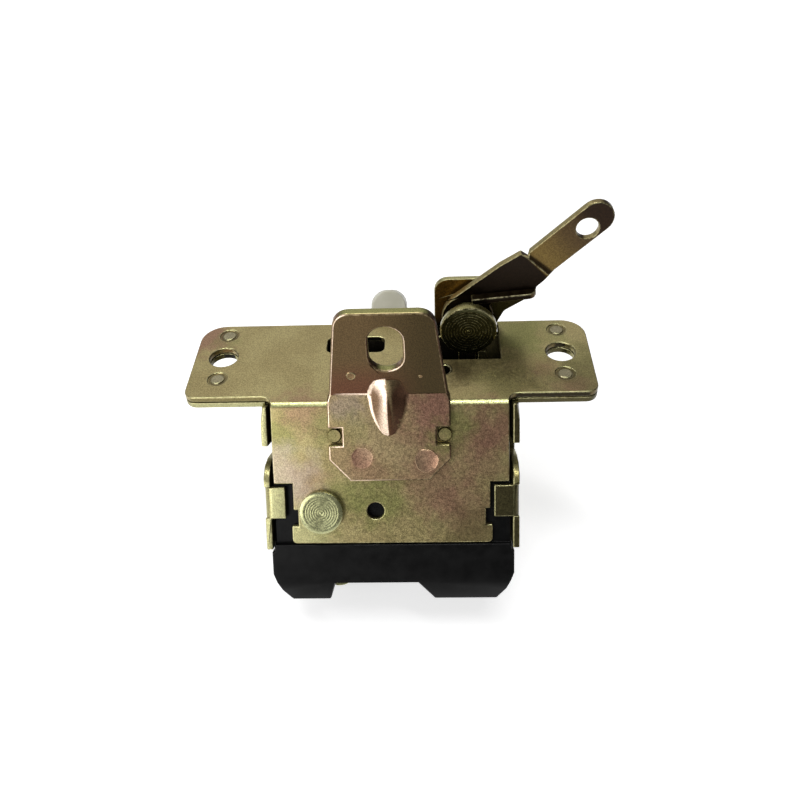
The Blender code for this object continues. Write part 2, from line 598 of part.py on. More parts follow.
def striker_housing(plastic):
    skirt_back = SHEET + FIT + HOUSING_WALL
    neck_half = CASING_HALF - SHEET - FIT - 0.1 * MM
    back = CASING_DEPTH - SHEET - FIT - 0.1 * MM
    base = [(-HOUSING_HALF, -HOUSING_SHELF), (-HOUSING_HALF, -HOUSING_SIDE_END),
            (-HOUSING_CHAMFER_X, -HOUSING_CHAMFER_END), (-LUG_OUTER_X, -LUG_END),
            (MOUTH_LEFT_END, -LUG_END), (MOUTH_LEFT, -LUG_TOP), (MOUTH_RIGHT, -LUG_TOP),
            (MOUTH_RIGHT_END, -LUG_END), (LUG_OUTER_X, -LUG_END),
            (HOUSING_CHAMFER_X, -HOUSING_CHAMFER_END), (HOUSING_HALF, -HOUSING_SIDE_END),
            (HOUSING_HALF, -HOUSING_SHELF)]
    housing = extruded("striker_housing", base, -CASING_DEPTH, 0, PLATE, plastic)
    neck = [(-neck_half, -HOUSING_SHELF - SHEET), (neck_half, -HOUSING_SHELF - SHEET),
            (neck_half, -HOUSING_NECK_TOP), (-neck_half, -HOUSING_NECK_TOP)]
    skirt = [(-neck_half, -HOUSING_SHELF - SHEET), (neck_half, -HOUSING_SHELF - SHEET),
             (neck_half, -HOUSING_SKIRT_TOP), (-neck_half, -HOUSING_SKIRT_TOP)]
    join(housing, extruded("housing_neck", neck, -back, 0, PLATE),
         extruded("housing_skirt", skirt, -skirt_back, -SHEET - FIT, PLATE))
    slope = [(-LUG_TOP, 0), (-LUG_TOP, 2 * SHEET), (-LUG_END - SHEET, 2 * SHEET),
             (-LUG_END - SHEET, -LUG_SLOPE_DEPTH * (LUG_END + SHEET - LUG_TOP) / (LUG_END - LUG_TOP))]
    left, right = CHANNEL_X - CHANNEL_HALF, CHANNEL_X + CHANNEL_HALF
    way_out = LUG_END + 2 * SHEET
    mouth = [(MOUTH_LEFT, -way_out), (MOUTH_LEFT, -LUG_TOP), (left, -FUNNEL_TOP),
             (left, -0.9 * HOUSING_NECK_TOP), (right, -0.9 * HOUSING_NECK_TOP),
             (right, -FUNNEL_TOP), (MOUTH_RIGHT, -LUG_TOP),
             (MOUTH_RIGHT_END, -LUG_END), (MOUTH_RIGHT_END, -way_out)]
    tip_end = FORK_OPEN_ANGLE + jaw_tip_start() + JAW_TIP_SPAN
    swing = [(0, 0), *arc((0, 0), LOWER_JAW_R + FORK_SWING_GAP, 12, -tip_end - 1, 20),
             polar(UPPER_JAW_R, tip_end + 6), polar(FORK_LOW_R, tip_end + 14)]
    fork_low = -FORK_FRONT - FORK_THICK - 1.5 * MM
    fork_high = -FORK_FRONT + 1.5 * MM
    pivot = on_plate(FORK_X, FORK_DOWN)
    cut(housing,
        extruded("lug_slope", slope, -2 * HOUSING_HALF, 2 * HOUSING_HALF, PLATE_SIDE),
        extruded("mouth", mouth, -CHANNEL_BACK, -MOUTH_WALL, PLATE),
        extruded("fork_swing", swing, fork_low, fork_high, pivot),
        extruded("fork_hub_room", circle((0, 0), FORK_LOW_R + FORK_SWING_GAP), fork_low,
                 fork_high, pivot),
        extruded("spacer_room", circle((0, 0), RIVET_R + FIT + SPACER_WALL + 2 * FIT),
                 -2 * skirt_back, SHEET, pivot))
    return housing


def jaw_tip_start():
    """Where the lower jaw's tip begins, from the middle of the fork's slot, in degrees."""
    return degrees(asin(JAW_SLOT_HALF / LOWER_JAW_R)) + JAW_FLARE


def polar(radius, angle):
    """Point at an angle in degrees, clockwise from +X as the plate is seen from outside."""
    return (radius * cos(radians(angle)), -radius * sin(radians(angle)))


def fork_outline():
    """The fork at rest, which is open."""
    slot = FORK_OPEN_ANGLE
    step = FORK_STEP_ANGLE + FORK_OPEN_ANGLE
    high_start = step - FORK_HIGH_SPAN
    seat = polar(SLOT_SEAT_R, slot)
    upper_end = slot - degrees(asin(JAW_SLOT_HALF / UPPER_JAW_R))
    lower_start = slot + jaw_tip_start()
    lower_end = lower_start + JAW_TIP_SPAN
    points = [polar(FORK_LOW_R, a) for a in (step, step + 14, step + 28, step + 42, step + 56)]
    points += [polar(UPPER_JAW_R - 1.5 * MM, slot - 31), polar(UPPER_JAW_R, slot - 28)]
    points += [polar(UPPER_JAW_R, (upper_end + slot - 28) / 2), polar(UPPER_JAW_R, upper_end)]
    points += arc(seat, JAW_SLOT_HALF, 90 - slot, 270 - slot, 10)
    jaw = rounded([(*points[-1], 0), (*polar(LOWER_JAW_R, lower_start), JAW_TIP_R),
                   (*polar(LOWER_JAW_R, lower_end), JAW_TIP_R), (*polar(FORK_LOW_R, 95), 0)], 4)
    points += [*jaw[1:], polar(FORK_HUB_R, 110)]
    points += [polar(FORK_HUB_R, 125 + (high_start + 360 - 8 - 125) * k / 9) for k in range(10)]
    points += [polar(FORK_HIGH_R, high_start + FORK_HIGH_SPAN * k / 8) for k in range(9)]
    return points


def fork(steel):
    obj = extruded("fork", fork_outline(), -FORK_FRONT - FORK_THICK, -FORK_FRONT,
                   on_plate(FORK_X, FORK_DOWN), steel)
    bore = extruded("fork_bore", circle((0, 0), RIVET_R + FIT), -FORK_FRONT - 2 * FORK_THICK,
                    -FORK_FRONT + FORK_THICK, on_plate(FORK_X, FORK_DOWN))
    cut(obj, bore)
    return obj


def fork_pivot(zinc, steel, spring):
    axis = on_plate(FORK_X, FORK_DOWN)
    edge = 0.4 * MM
    head, tail = FIT + RIVET_HEAD, -CASING_DEPTH - FIT
    turned("fork_pivot_rivet",
           [(0, head), (RIVET_HEAD_R - edge, head), (RIVET_HEAD_R, head - edge),
            (RIVET_HEAD_R, FIT), (RIVET_R, FIT), (RIVET_R, tail), (RIVET_TAIL_R, tail),
            (RIVET_TAIL_R - edge, tail - RIVET_TAIL), (0, tail - RIVET_TAIL)], axis, zinc, 36)
    bore = RIVET_R + FIT
    back = -CASING_DEPTH + SHEET + FIT
    tube("fork_front_spacer", bore, bore + SPACER_WALL, -FORK_FRONT + FIT, -SHEET - FIT, axis,
         steel)
    fork_back = -FORK_FRONT - FORK_THICK
    tube("fork_rear_spacer", bore, bore + SPACER_WALL, back, fork_back - FIT, axis, steel)
    low, high = back + FORK_WIRE_R, fork_back - FIT - FORK_WIRE_R
    wire("fork_spring", coil_points(FORK_COIL_R, low, high, COIL_TURNS, SPRING_LEG, radians(200)),
         FORK_WIRE_R, axis, spring)


def pawl(steel):
    """The pawl at rest, lifted onto the high rim of the open fork."""
    tip_x = FORK_X - 0.2 * MM - PAWL_X
    tip_down = FORK_DOWN - FORK_HIGH_R - 1.2 * FIT - PAWL_DOWN
    top = PAWL_ARM_TOP - PAWL_DOWN
    outline = [(tip_x, -tip_down), (tip_x, -top), (-PAWL_HUB_R, -top)]
    outline += arc((0, 0), PAWL_HUB_R, 110, -110, 14)
    outline += [(-PAWL_HUB_R - 4 * MM, -tip_down - 4.6 * MM),
                (tip_x + PAWL_TIP_WIDTH + 1.5 * MM, -tip_down - 0.5 * MM),
                (tip_x + PAWL_TIP_WIDTH, -tip_down)]
    axis = on_plate(PAWL_X, PAWL_DOWN)
    obj = extruded("pawl", outline, -FORK_FRONT - FORK_THICK, -FORK_FRONT, axis, steel)
    cut(obj, extruded("pawl_bore", circle((0, 0), SHAFT_R + FIT), -FORK_FRONT - 2 * FORK_THICK,
                      -FORK_FRONT + FORK_THICK, axis))
    return obj


def crank_levels():
    low = -CASING_DEPTH + SHEET + CRANK_WALL_GAP
    return low, low + CRANK_THICK


def release_crank(zinc):
    """Carries the lever's push to the pawl shaft, close to the casing's back wall."""
    low, high = crank_levels()
    left = LEVER_X + TAIL_HALF + FINGER_GAP - PAWL_X
    right = left + FINGER_WIDTH
    finger_top = TAIL_TIP_UP + 4 * MM + PAWL_DOWN
    outline = arc((0, 0), PAWL_HUB_R, 135, 315, 14)
    outline += [(right - 1.5 * MM, PAWL_DOWN - 6 * MM), (right + 0.4 * MM, PAWL_DOWN),
                (right, finger_top), (left, finger_top), (left, PAWL_DOWN + 4 * MM),
                (left - 2.5 * MM, PAWL_DOWN - 0.5 * MM)]
    axis = on_plate(PAWL_X, PAWL_DOWN)
    obj = extruded("release_crank", outline, low, high, axis, zinc)
    cut(obj, extruded("crank_bore", circle((0, 0), SHAFT_R + FIT), low - CRANK_THICK,
                      high + CRANK_THICK, axis))
    return obj


def release_arm(zinc):
    """Stands up behind the casing and carries the nylon cap."""
    high = -CASING_DEPTH - 2 * FIT - ARM_WASHER
    low = high - ARM_THICK
    tip_x = ARM_TIP_X - PAWL_X
    outline = arc((0, 0), 1.1 * PAWL_HUB_R, -160, 30, 14)
    outline += [(tip_x + ARM_HALF + 4 * MM, PAWL_DOWN - 2 * MM),
                (tip_x + ARM_HALF, PAWL_DOWN + 10 * MM),
                (tip_x + ARM_HALF, PAWL_DOWN + ARM_TIP_UP),
                (tip_x - ARM_HALF, PAWL_DOWN + ARM_TIP_UP),
                (tip_x - ARM_HALF, PAWL_DOWN + 6 * MM)]
    axis = on_plate(PAWL_X, PAWL_DOWN)
    obj = extruded("release_arm", outline, low, high, axis, zinc)
    cut(obj, extruded("arm_bore", circle((0, 0), SHAFT_R + FIT), low - ARM_THICK,
                      high + ARM_THICK / 4, axis))
    return obj


def nylon_cap(nylon):
    high = -CASING_DEPTH - 2 * FIT - ARM_WASHER
    low = high - ARM_THICK
    tip_x = ARM_TIP_X - PAWL_X
    bottom, top = PAWL_DOWN + CAP_BOTTOM, PAWL_DOWN + CAP_TOP
    outer = rounded([(tip_x - CAP_HALF, bottom, 0), (tip_x + CAP_HALF, bottom, 0),
                     (tip_x + CAP_HALF, top, CAP_CORNER_R), (tip_x - CAP_HALF, top, CAP_CORNER_R)])
    axis = on_plate(PAWL_X, PAWL_DOWN)
    cap = extruded("nylon_cap", outer, low - CAP_WALL, high + 0.9 * CAP_WALL, axis, nylon)
    pocket_top = PAWL_DOWN + ARM_TIP_UP + FIT
    room = ARM_HALF + FIT
    pocket = [(tip_x - room, bottom - CAP_HALF), (tip_x + room, bottom - CAP_HALF),
              (tip_x + room, pocket_top), (tip_x - room, pocket_top)]
    cut(cap, extruded("cap_pocket", pocket, low - FIT, high + FIT, axis))
    return cap


def pawl_shaft(zinc, steel, spring):
    axis = on_plate(PAWL_X, PAWL_DOWN)
    flange_top = -SHEET - 1.3 * FIT
    flange_low = flange_top - SHAFT_FLANGE
    arm_back = -CASING_DEPTH - 2 * FIT - ARM_WASHER - ARM_THICK
    groove_top = arm_back - FIT
    groove_low = groove_top - CLIP_THICK - 2 * FIT
    groove_r = SHAFT_R - 0.7 * MM
    end = groove_low - 1.0 * MM
    turned("pawl_shaft",
           [(0, -0.7 * FIT), (SHAFT_R, -0.7 * FIT), (SHAFT_R, flange_top),
            (SHAFT_FLANGE_R, flange_top), (SHAFT_FLANGE_R, flange_low), (SHAFT_R, flange_low),
            (SHAFT_R, groove_top), (groove_r, groove_top), (groove_r, groove_low),
            (SHAFT_R, groove_low), (SHAFT_R, end), (0, end)], axis, zinc)
    bore = SHAFT_R + FIT
    outer = bore + SHAFT_SPACER_WALL
    fork_back = -FORK_FRONT - FORK_THICK
    crank_top = crank_levels()[1]
    tube("pawl_front_spacer", bore, outer, -FORK_FRONT + FIT, flange_low - FIT, axis, steel)
    tube("pawl_rear_spacer", bore, outer, crank_top + FIT, fork_back - FIT, axis, steel)
    tube("arm_washer", bore, outer + 1.2 * MM, -CASING_DEPTH - FIT - ARM_WASHER,
         -CASING_DEPTH - FIT, axis, steel)
    extruded("shaft_clip", arc((0, 0), CLIP_R, 40, 320, 18)
                    + arc((0, 0), groove_r + FIT, 320, 40, 16), groove_low + FIT,
                    groove_low + FIT + CLIP_THICK, axis, steel)
    low, high = crank_top + FIT + PAWL_WIRE_R, fork_back - FIT - PAWL_WIRE_R
    wire("pawl_spring", coil_points(PAWL_COIL_R, low, high, COIL_TURNS, SPRING_LEG, radians(20)),
         PAWL_WIRE_R, axis, spring)


def lever_frame():
    """Lever axis: X to the right, Y up, Z towards the viewer, its origin on the lever's front."""
    tab_front = FLANGE_REAR - SHEET
    front = tab_front - LEVER_GAP - LEVER_THICK
    return FRONT_VIEW @ Matrix.Translation((LEVER_X, FLANGE_TOP + LEVER_UP, -front))


def release_lever(zinc):
    frame = lever_frame()
    way = Vector((cos(LEVER_ARM_ANGLE), sin(LEVER_ARM_ANGLE)))
    across = Vector((-way.y, way.x))

    def at(along, over):
        point = way * along + across * over
        return (point.x, point.y)

    mid = (ARM_EDGE_TOP + ARM_EDGE_LOW) / 2
    end_r = (ARM_EDGE_TOP - ARM_EDGE_LOW) / 2
    tilt = degrees(LEVER_ARM_ANGLE)
    outline = arc((0, 0), LEVER_HUB_R, 225, 100, 12)
    outline += [at(0.6 * MM, 8.9 * MM), at(20.9 * MM, 7.3 * MM), at(28.3 * MM, 5.9 * MM),
                at(28.8 * MM, ARM_EDGE_TOP)]
    outline += arc(at(LEVER_REACH - end_r, mid), end_r, tilt + 90, tilt - 90, 14)
    outline += [at(30.65 * MM, ARM_EDGE_LOW), at(29.4 * MM, -6.6 * MM), at(27.0 * MM, -7.0 * MM),
                at(23.8 * MM, -7.1 * MM), (21.5 * MM, 8.0 * MM), (9.0 * MM, 6.6 * MM)]
    outline += arc((0, 0), LEVER_HUB_R, 30, -45, 7)
    lever = extruded("release_lever", outline, -LEVER_THICK, 0, frame, zinc)
    joggle(lever, Vector((*at(*JOGGLE_TOP), 0)), Vector((*at(*JOGGLE_LOW), 0)), way.to_3d())
    lip_way = Vector((cos(radians(5.7)), sin(radians(5.7)), 0))
    lip_up = Vector((-lip_way.y, lip_way.x, 0))
    lip_frame = frame @ frame_of(lip_way, Vector((0, 0, 1)), -lip_up, Vector((0, LIP_TOP, 0)))
    lip = rounded([(1.0 * MM, -0.9 * LEVER_THICK, 0), (21.5 * MM, -0.9 * LEVER_THICK, 0),
                   (22.3 * MM, LIP_DEPTH, 2.6 * MM), (1.0 * MM, LIP_DEPTH, 0)], 5)
    join(lever, extruded("lever_lip", lip, 0, LIP_THICK, lip_frame))
    join(lever, *lever_tail(frame))
    spot_hole = at(*LEVER_HOLE)
    cut(lever, extruded("pin_bore", circle((0, 0), PIN_R + FIT), -2 * LEVER_THICK, LEVER_THICK,
                        frame),
        extruded("cable_hole", circle(spot_hole, LEVER_HOLE_R), -4 * LEVER_THICK,
                 LEVER_THICK, frame))
    return lever


def joggle(obj, upper, lower, way):
    """Sets the outer end of the lever back by one step, along a slanting ramp."""
    bm = bmesh.new()
    bm.from_mesh(obj.data)
    ramp_way = (lower - upper).normalized()
    normal = ramp_way.cross(Vector((0, 0, 1)))
    normal = normal if normal.dot(way) > 0 else -normal
    for shift in (0, JOGGLE_RAMP):
        geom = bm.verts[:] + bm.edges[:] + bm.faces[:]
        bmesh.ops.bisect_plane(bm, geom=geom, plane_co=upper + normal * shift, plane_no=normal)
    for vert in bm.verts:
        if (vert.co - upper).dot(normal) > JOGGLE_RAMP / 2:
            vert.co.z -= JOGGLE
    bm.to_mesh(obj.data)
    bm.free()


def lever_tail(frame):
    """Goes down from the hub, then bends to follow the casing's back wall."""
    low = crank_levels()[0]
    lever_front = frame.translation.y
    lever_back = lever_front + LEVER_THICK
    bend_z = FLANGE_TOP + ((lever_back - PLATE_TOP_Y) * cos(SLOPE) + low) / sin(SLOPE)
    tip = PLATE @ Vector((0, TAIL_TIP_UP, low))
    length = (Vector((lever_back, bend_z)) - Vector((tip.y, tip.z))).length
    strip = bent_strip((lever_back, bend_z), (0, 1), frame.translation.z - bend_z,
                       (-sin(SLOPE), -cos(SLOPE)), length, LEVER_THICK, TAIL_BEND_R)
    return [extruded("lever_tail", strip, LEVER_X - TAIL_HALF, LEVER_X + TAIL_HALF, SIDE_VIEW)]


def lever_pivot(zinc, steel):
    frame = lever_frame()
    edge = 0.35 * MM
    back = COLLAR_LENGTH + 2 * FIT
    front = back + PIN_HEAD
    tail = -LEVER_THICK - LEVER_GAP - SHEET - FIT
    turned("lever_pivot_pin",
           [(0, front + 0.3 * MM), (0.7 * MM, front), (PIN_HEAD_R - edge, front),
            (PIN_HEAD_R, front - edge), (PIN_HEAD_R, back), (PIN_R, back), (PIN_R, tail),
            (1.4 * PIN_R, tail), (1.3 * PIN_R, tail - 1.5 * MM), (0, tail - 1.5 * MM)],
           frame, zinc, 40)
    tube("lever_collar", PIN_R + FIT, COLLAR_R, FIT, FIT + COLLAR_LENGTH, frame, zinc)
    tube("lever_washer", PIN_R + FIT, LEVER_WASHER_R, -LEVER_THICK - FIT - LEVER_WASHER,
         -LEVER_THICK - FIT, frame, steel)


def guide_bracket(zinc):
    back_y = BRACKET_FACE_Y + BRACKET_SHEET
    corner_down = (PLATE_TOP_Y - FIT * cos(SLOPE) - back_y) / sin(SLOPE)
    corner_z = FLANGE_TOP + FIT * sin(SLOPE) - corner_down * cos(SLOPE)
    top = FLANGE_TOP + BRACKET_HEIGHT
    strip = bent_strip((back_y, corner_z), (0, 1), top - corner_z, (-sin(SLOPE), -cos(SLOPE)),
                       BRACKET_FOOT - corner_down, BRACKET_SHEET, BRACKET_BEND_R)
    bracket = extruded("guide_bracket", strip, -BRACKET_HALF, BRACKET_HALF, SIDE_VIEW, zinc)
    bend_z = FLANGE_TOP + BRACKET_BEND_UP
    far_below = bend_z - 2 * BRACKET_FOOT
    shape_top = rounded([(-BRACKET_HALF, far_below, 0), (BRACKET_HALF, far_below, 0),
                         (BRACKET_HALF, bend_z - 2 * MM, 0), (BRACKET_BEND_HALF, bend_z, 0),
                         (BRACKET_TOP_HALF, top, BRACKET_CORNER_R),
                         (-BRACKET_TOP_HALF, top, BRACKET_CORNER_R),
                         (-BRACKET_BEND_HALF, bend_z, 0), (-BRACKET_HALF, bend_z - 2 * MM, 0)], 6)
    combine(bracket, extruded("bracket_shape", shape_top, -FLANGE_HALF, FLANGE_HALF, FRONT_VIEW),
            "INTERSECT")
    join(bracket, stiffening_rib(bend_z))
    half = (GUIDE_HIGH - GUIDE_LOW) / 2 - GUIDE_HALF
    middle = FLANGE_TOP + (GUIDE_HIGH + GUIDE_LOW) / 2
    guide = arc((0, middle + half), GUIDE_HALF, 0, 180, 10)
    guide += arc((0, middle - half), GUIDE_HALF, 180, 360, 10)
    cut(bracket, extruded("guide_slot", guide, 0, FLANGE_HALF, FRONT_VIEW))
    notch = [(BRACKET_NOTCH_X, -BRACKET_NOTCH_TOP), (BRACKET_NOTCH_X, -BRACKET_NOTCH_END),
             (2 * BRACKET_HALF, -BRACKET_NOTCH_END), (2 * BRACKET_HALF, -BRACKET_NOTCH_TOP)]
    foot = [(BRACKET_HALF, -BRACKET_CHAMFER_TOP), (BRACKET_FOOT_HALF, -BRACKET_FOOT),
            (BRACKET_FOOT_HALF, -2 * BRACKET_FOOT), (2 * BRACKET_HALF, -2 * BRACKET_FOOT),
            (2 * BRACKET_HALF, -BRACKET_CHAMFER_TOP)]
    for side, word in ((-1, "left"), (1, "right")):
        for name, outline in (("boss_notch", notch), ("foot_chamfer", foot)):
            shape = outline if side > 0 else mirrored(outline)
            cut(bracket, extruded(f"{name}_{word}", shape, -SHEET, 4 * SHEET, PLATE))
    return bracket


def stiffening_rib(bend_z):
    """Pressed rib across the bend: a pointed dome, with its ridge from the upright to the foot."""
    bend = Vector((0, BRACKET_FACE_Y, bend_z))
    top, tip = bend + Vector((0, 0, RIB_RISE)), bend - SLOPE_UP * RIB_DOWN
    swell = (tip - top).cross(ALONG).normalized() * RIB_BULGE
    sink = Vector((0, 1, 0)) - OUTWARD
    sink *= BRACKET_SHEET / 3 / sink.length
    steps = 12
    bm = bmesh.new()
    rows = []
    for i in range(1, steps):
        place = i / steps * (RIB_RISE + RIB_DOWN) - RIB_RISE        # from the bend, down the rib
        if place < 0:
            base, half = bend - Vector((0, 0, place)), (1 - (place / RIB_RISE) ** 2) ** 0.5
        else:
            base, half = bend - SLOPE_UP * place, (1 - (place / RIB_DOWN) ** 2) ** 0.75
        share = i / steps
        ridge = top.lerp(tip, share) + swell * 4 * share * (1 - share)
        row = [base + ALONG * RIB_HALF * half + sink, base - ALONG * RIB_HALF * half + sink]
        for k in range(-4, 5):
            lift = 1 - abs(k / 4) ** 1.3
            row.append(base.lerp(ridge, lift) + ALONG * RIB_HALF * half * k / 4)
        rows.append([bm.verts.new(point) for point in row])
    for a, b in zip(rows, rows[1:]):
        for k in range(len(a)):
            bm.faces.new((a[k - 1], a[k], b[k], b[k - 1]))
    for row, point in ((rows[0], top), (rows[-1], tip)):
        end = bm.verts.new(point + sink / 2)
        for k in range(len(row)):
            bm.faces.new((row[k - 1], row[k], end))
    return finish("rib", bm, PLAN, None)


def striker_buffer(rubber):
    front = SHEET + FIT + HOUSING_WALL + FIT
    back = FORK_FRONT - BUFFER_GAP
    outline = rounded([(CHANNEL_X - BUFFER_HALF, -BUFFER_END, 1 * MM),
                       (CHANNEL_X + BUFFER_HALF, -BUFFER_END, 1 * MM),
                       (CHANNEL_X + BUFFER_HALF, -BUFFER_TOP, 1 * MM),
                       (CHANNEL_X - BUFFER_HALF, -BUFFER_TOP, 1 * MM)], 3)
    return extruded("striker_buffer", outline, -back, -front, PLATE, rubber)


def build():
    clear_scene()
    zinc = material("yellow_zinc_steel", (0.42, 0.36, 0.20), 0.35, 1.0)
    dark_zinc = material("bronze_zinc_steel", (0.30, 0.22, 0.12), 0.35, 1.0)
    steel = material("plain_steel", (0.45, 0.45, 0.45), 0.4, 1.0)
    spring = material("spring_wire", (0.30, 0.30, 0.32), 0.35, 1.0)
    plastic = material("black_plastic", (0.01, 0.01, 0.012), 0.45, 0.0)
    nylon = material("white_nylon", (0.85, 0.84, 0.78), 0.5, 0.0)
    rubber = material("black_rubber", (0.02, 0.02, 0.02), 0.8, 0.0)
    front_plate(zinc)
    rear_casing(zinc)
    striker_housing(plastic)
    striker_buffer(rubber)
    guide_bracket(dark_zinc)
    fork(steel)
    fork_pivot(zinc, steel, spring)
    pawl(steel)
    pawl_shaft(zinc, steel, spring)
    release_crank(zinc)
    release_arm(dark_zinc)
    nylon_cap(nylon)
    release_lever(dark_zinc)
    lever_pivot(dark_zinc, steel)


build()
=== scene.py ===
# %% [markdown]
# This file dresses a boot lock: a small latch of pressed, yellow-passivated steel with a black
# moulded striker housing. The imported solids already hold every true size. Here each one gets the
# finish of the real metal or plastic, and the small forms that a solid model leaves out.
# The first cell loads the solids, and part_box reads each one's box.

import json
from math import atan2, cos, pi, radians, sin

import bmesh
import bpy
from mathutils import Matrix, Vector


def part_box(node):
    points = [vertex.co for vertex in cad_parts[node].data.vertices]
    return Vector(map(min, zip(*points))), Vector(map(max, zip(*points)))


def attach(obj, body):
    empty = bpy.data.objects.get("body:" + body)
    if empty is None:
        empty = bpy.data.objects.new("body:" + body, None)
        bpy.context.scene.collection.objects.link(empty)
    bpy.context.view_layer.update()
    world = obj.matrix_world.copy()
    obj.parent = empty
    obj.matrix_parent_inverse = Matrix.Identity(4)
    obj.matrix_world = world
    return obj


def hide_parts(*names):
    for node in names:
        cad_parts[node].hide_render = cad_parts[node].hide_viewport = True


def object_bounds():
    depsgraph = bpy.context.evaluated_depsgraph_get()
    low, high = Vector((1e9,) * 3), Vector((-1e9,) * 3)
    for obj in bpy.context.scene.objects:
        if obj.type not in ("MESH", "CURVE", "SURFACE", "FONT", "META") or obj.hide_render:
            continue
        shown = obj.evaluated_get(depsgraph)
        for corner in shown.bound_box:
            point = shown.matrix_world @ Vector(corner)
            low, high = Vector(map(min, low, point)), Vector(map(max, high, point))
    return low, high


MM = 0.001
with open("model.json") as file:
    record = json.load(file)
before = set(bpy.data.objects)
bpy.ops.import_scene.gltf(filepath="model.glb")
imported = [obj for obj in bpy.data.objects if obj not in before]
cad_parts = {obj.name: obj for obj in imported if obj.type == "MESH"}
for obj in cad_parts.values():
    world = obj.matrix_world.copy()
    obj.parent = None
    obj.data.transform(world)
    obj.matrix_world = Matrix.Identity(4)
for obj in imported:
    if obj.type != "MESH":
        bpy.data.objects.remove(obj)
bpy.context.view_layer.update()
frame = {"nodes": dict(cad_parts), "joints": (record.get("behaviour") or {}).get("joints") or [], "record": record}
nodes = frame["nodes"]

# %% [markdown]
# The photograph looks down on the lock from 42 degrees, almost straight from the front, and the
# camera is turned a little about its own line of sight. The camera is placed by the point it looks
# at, its distance and three angles, which is how a photographer would describe it. The part's
# origin lies 20 mm behind the flange's front edge, so the point is given from there.

# %% Camera
LOOK_AT = Vector((3.277, -20.0, 2.074)) * MM
DISTANCE = 249.506 * MM
AZIMUTH, ELEVATION, ROLL = radians(3.003), radians(42.104), radians(-2.937)
back = Vector((sin(AZIMUTH) * cos(ELEVATION), -cos(AZIMUTH) * cos(ELEVATION), sin(ELEVATION)))
camera_data = bpy.data.cameras.new("photo_camera")
camera_data.sensor_width = 36.0
camera_data.lens = 36.0146
camera = bpy.data.objects.new("photo_camera", camera_data)
bpy.context.scene.collection.objects.link(camera)
level = back.to_track_quat("Z", "Y").to_matrix().to_4x4()
camera.matrix_world = (Matrix.Translation(LOOK_AT + back * DISTANCE) @ level
                       @ Matrix.Rotation(ROLL, 4, "Z"))
camera_data.clip_start, camera_data.clip_end = 0.01, 10.0
bpy.context.scene.camera = camera
print("camera at", [round(c, 4) for c in camera.matrix_world.translation])

# %% [markdown]
# The lock stands on white paper in a soft, plain light. The strongest lamp is on the left and a
# little in front, so the metal is bright on its left and falls off to the right, as in the
# photograph. A long lamp above puts the bright line on the bend between flange and front plate.
# A painted highlight on the bend's faces makes that line paler.
# Painted shade on faces that look right deepens that fall.

# %% Floor, world and lamps
scene = bpy.context.scene
scene.view_settings.view_transform = "Standard"
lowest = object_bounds()[0].z


def linear(hex_colour):
    """Turns an sRGB hex value into the linear colour that a shader socket holds."""
    parts = [int(hex_colour[i:i + 2], 16) / 255 for i in (1, 3, 5)]
    return (*[p / 12.92 if p <= 0.04045 else ((p + 0.055) / 1.055) ** 2.4 for p in parts], 1.0)


floor_mesh = bpy.data.meshes.new("floor")
FLOOR_REACH, FLOOR_GAP = 1.5, 1.0 * MM
floor_z = lowest - FLOOR_GAP
corners = [(-1, -1), (1, -1), (1, 1), (-1, 1)]
floor_mesh.from_pydata([(x * FLOOR_REACH, y * FLOOR_REACH, floor_z) for x, y in corners], [],
                       [(0, 1, 2, 3)])
floor = bpy.data.objects.new("floor", floor_mesh)
scene.collection.objects.link(floor)
world = bpy.data.worlds.new("studio")
scene.world = world
world.use_nodes = True

LAMPS = {                            # place, width, height, watts
    "left_softbox": ((-0.30, -0.42, 0.16), 0.36, 0.30, 1.5),
    "overhead_strip": ((-0.03, -0.06, 0.60), 0.70, 0.07, 2.2),
    "rear_panel": ((-0.02, 0.44, 0.42), 0.60, 0.36, 0.48),
}
for name, (spot, width, height, power) in LAMPS.items():
    lamp_data = bpy.data.lights.new(name, "AREA")
    lamp_data.shape = "RECTANGLE"
    lamp_data.size, lamp_data.size_y = width, height
    lamp_data.energy = power
    lamp = bpy.data.objects.new(name, lamp_data)
    lamp.location = spot
    lamp.rotation_euler = (Vector(spot) - LOOK_AT).to_track_quat("Z", "Y").to_euler()
    scene.collection.objects.link(lamp)
print("floor at", round(floor_z, 4), "lamps", len(LAMPS))

# %% [markdown]
# Every finish is built from nodes, and one function adds each of them. An input may be a socket,
# which is linked, a hex colour or a plain value. The function returns the output that the next node
# takes, so that a pattern is short to read. Inputs are named, or numbered where a node repeats its
# names: a Map Range node takes 0 the value, 1 and 2 the range it comes from, 3 and 4 the range it
# goes to, and a Mix node of colours takes 0 the share, 6 and 7 the two colours.
# All patterns take object coordinates in metres, and a pattern's scale is one over the size of its
# cells, so `1 / (8 * MM)` gives 8 mm patches.

# %% Node helpers
SMOOTH = {"interpolation_type": "SMOOTHSTEP"}     # eases both ends of a Map Range node


def fill(tree, node, inputs):
    """Fills or links a node's inputs, by name or number: sockets, hex colours or plain values."""
    for socket, value in dict(inputs).items():
        if isinstance(value, bpy.types.NodeSocket):
            tree.links.new(value, node.inputs[socket])
        else:
            is_colour = isinstance(value, str) and value.startswith("#")
            node.inputs[socket].default_value = linear(value) if is_colour else value


def add_node(tree, kind, inputs=(), out=0, **settings):
    """Adds a node of any kind, and returns the output that is asked for."""
    node = tree.nodes.new(kind)
    for name, value in settings.items():
        setattr(node, name, value)
    fill(tree, node, inputs)
    return node.outputs[out] if node.outputs else node


def new_material(name, metallic=0.0):
    """A material with its tree, its surface shader and its object coordinates."""
    made = bpy.data.materials.new(name)
    made.use_nodes = True
    tree = made.node_tree
    shader = tree.nodes["Principled BSDF"]
    shader.inputs["Metallic"].default_value = metallic
    return made, tree, shader, add_node(tree, "ShaderNodeTexCoord", out="Object")


print("node helpers ready")

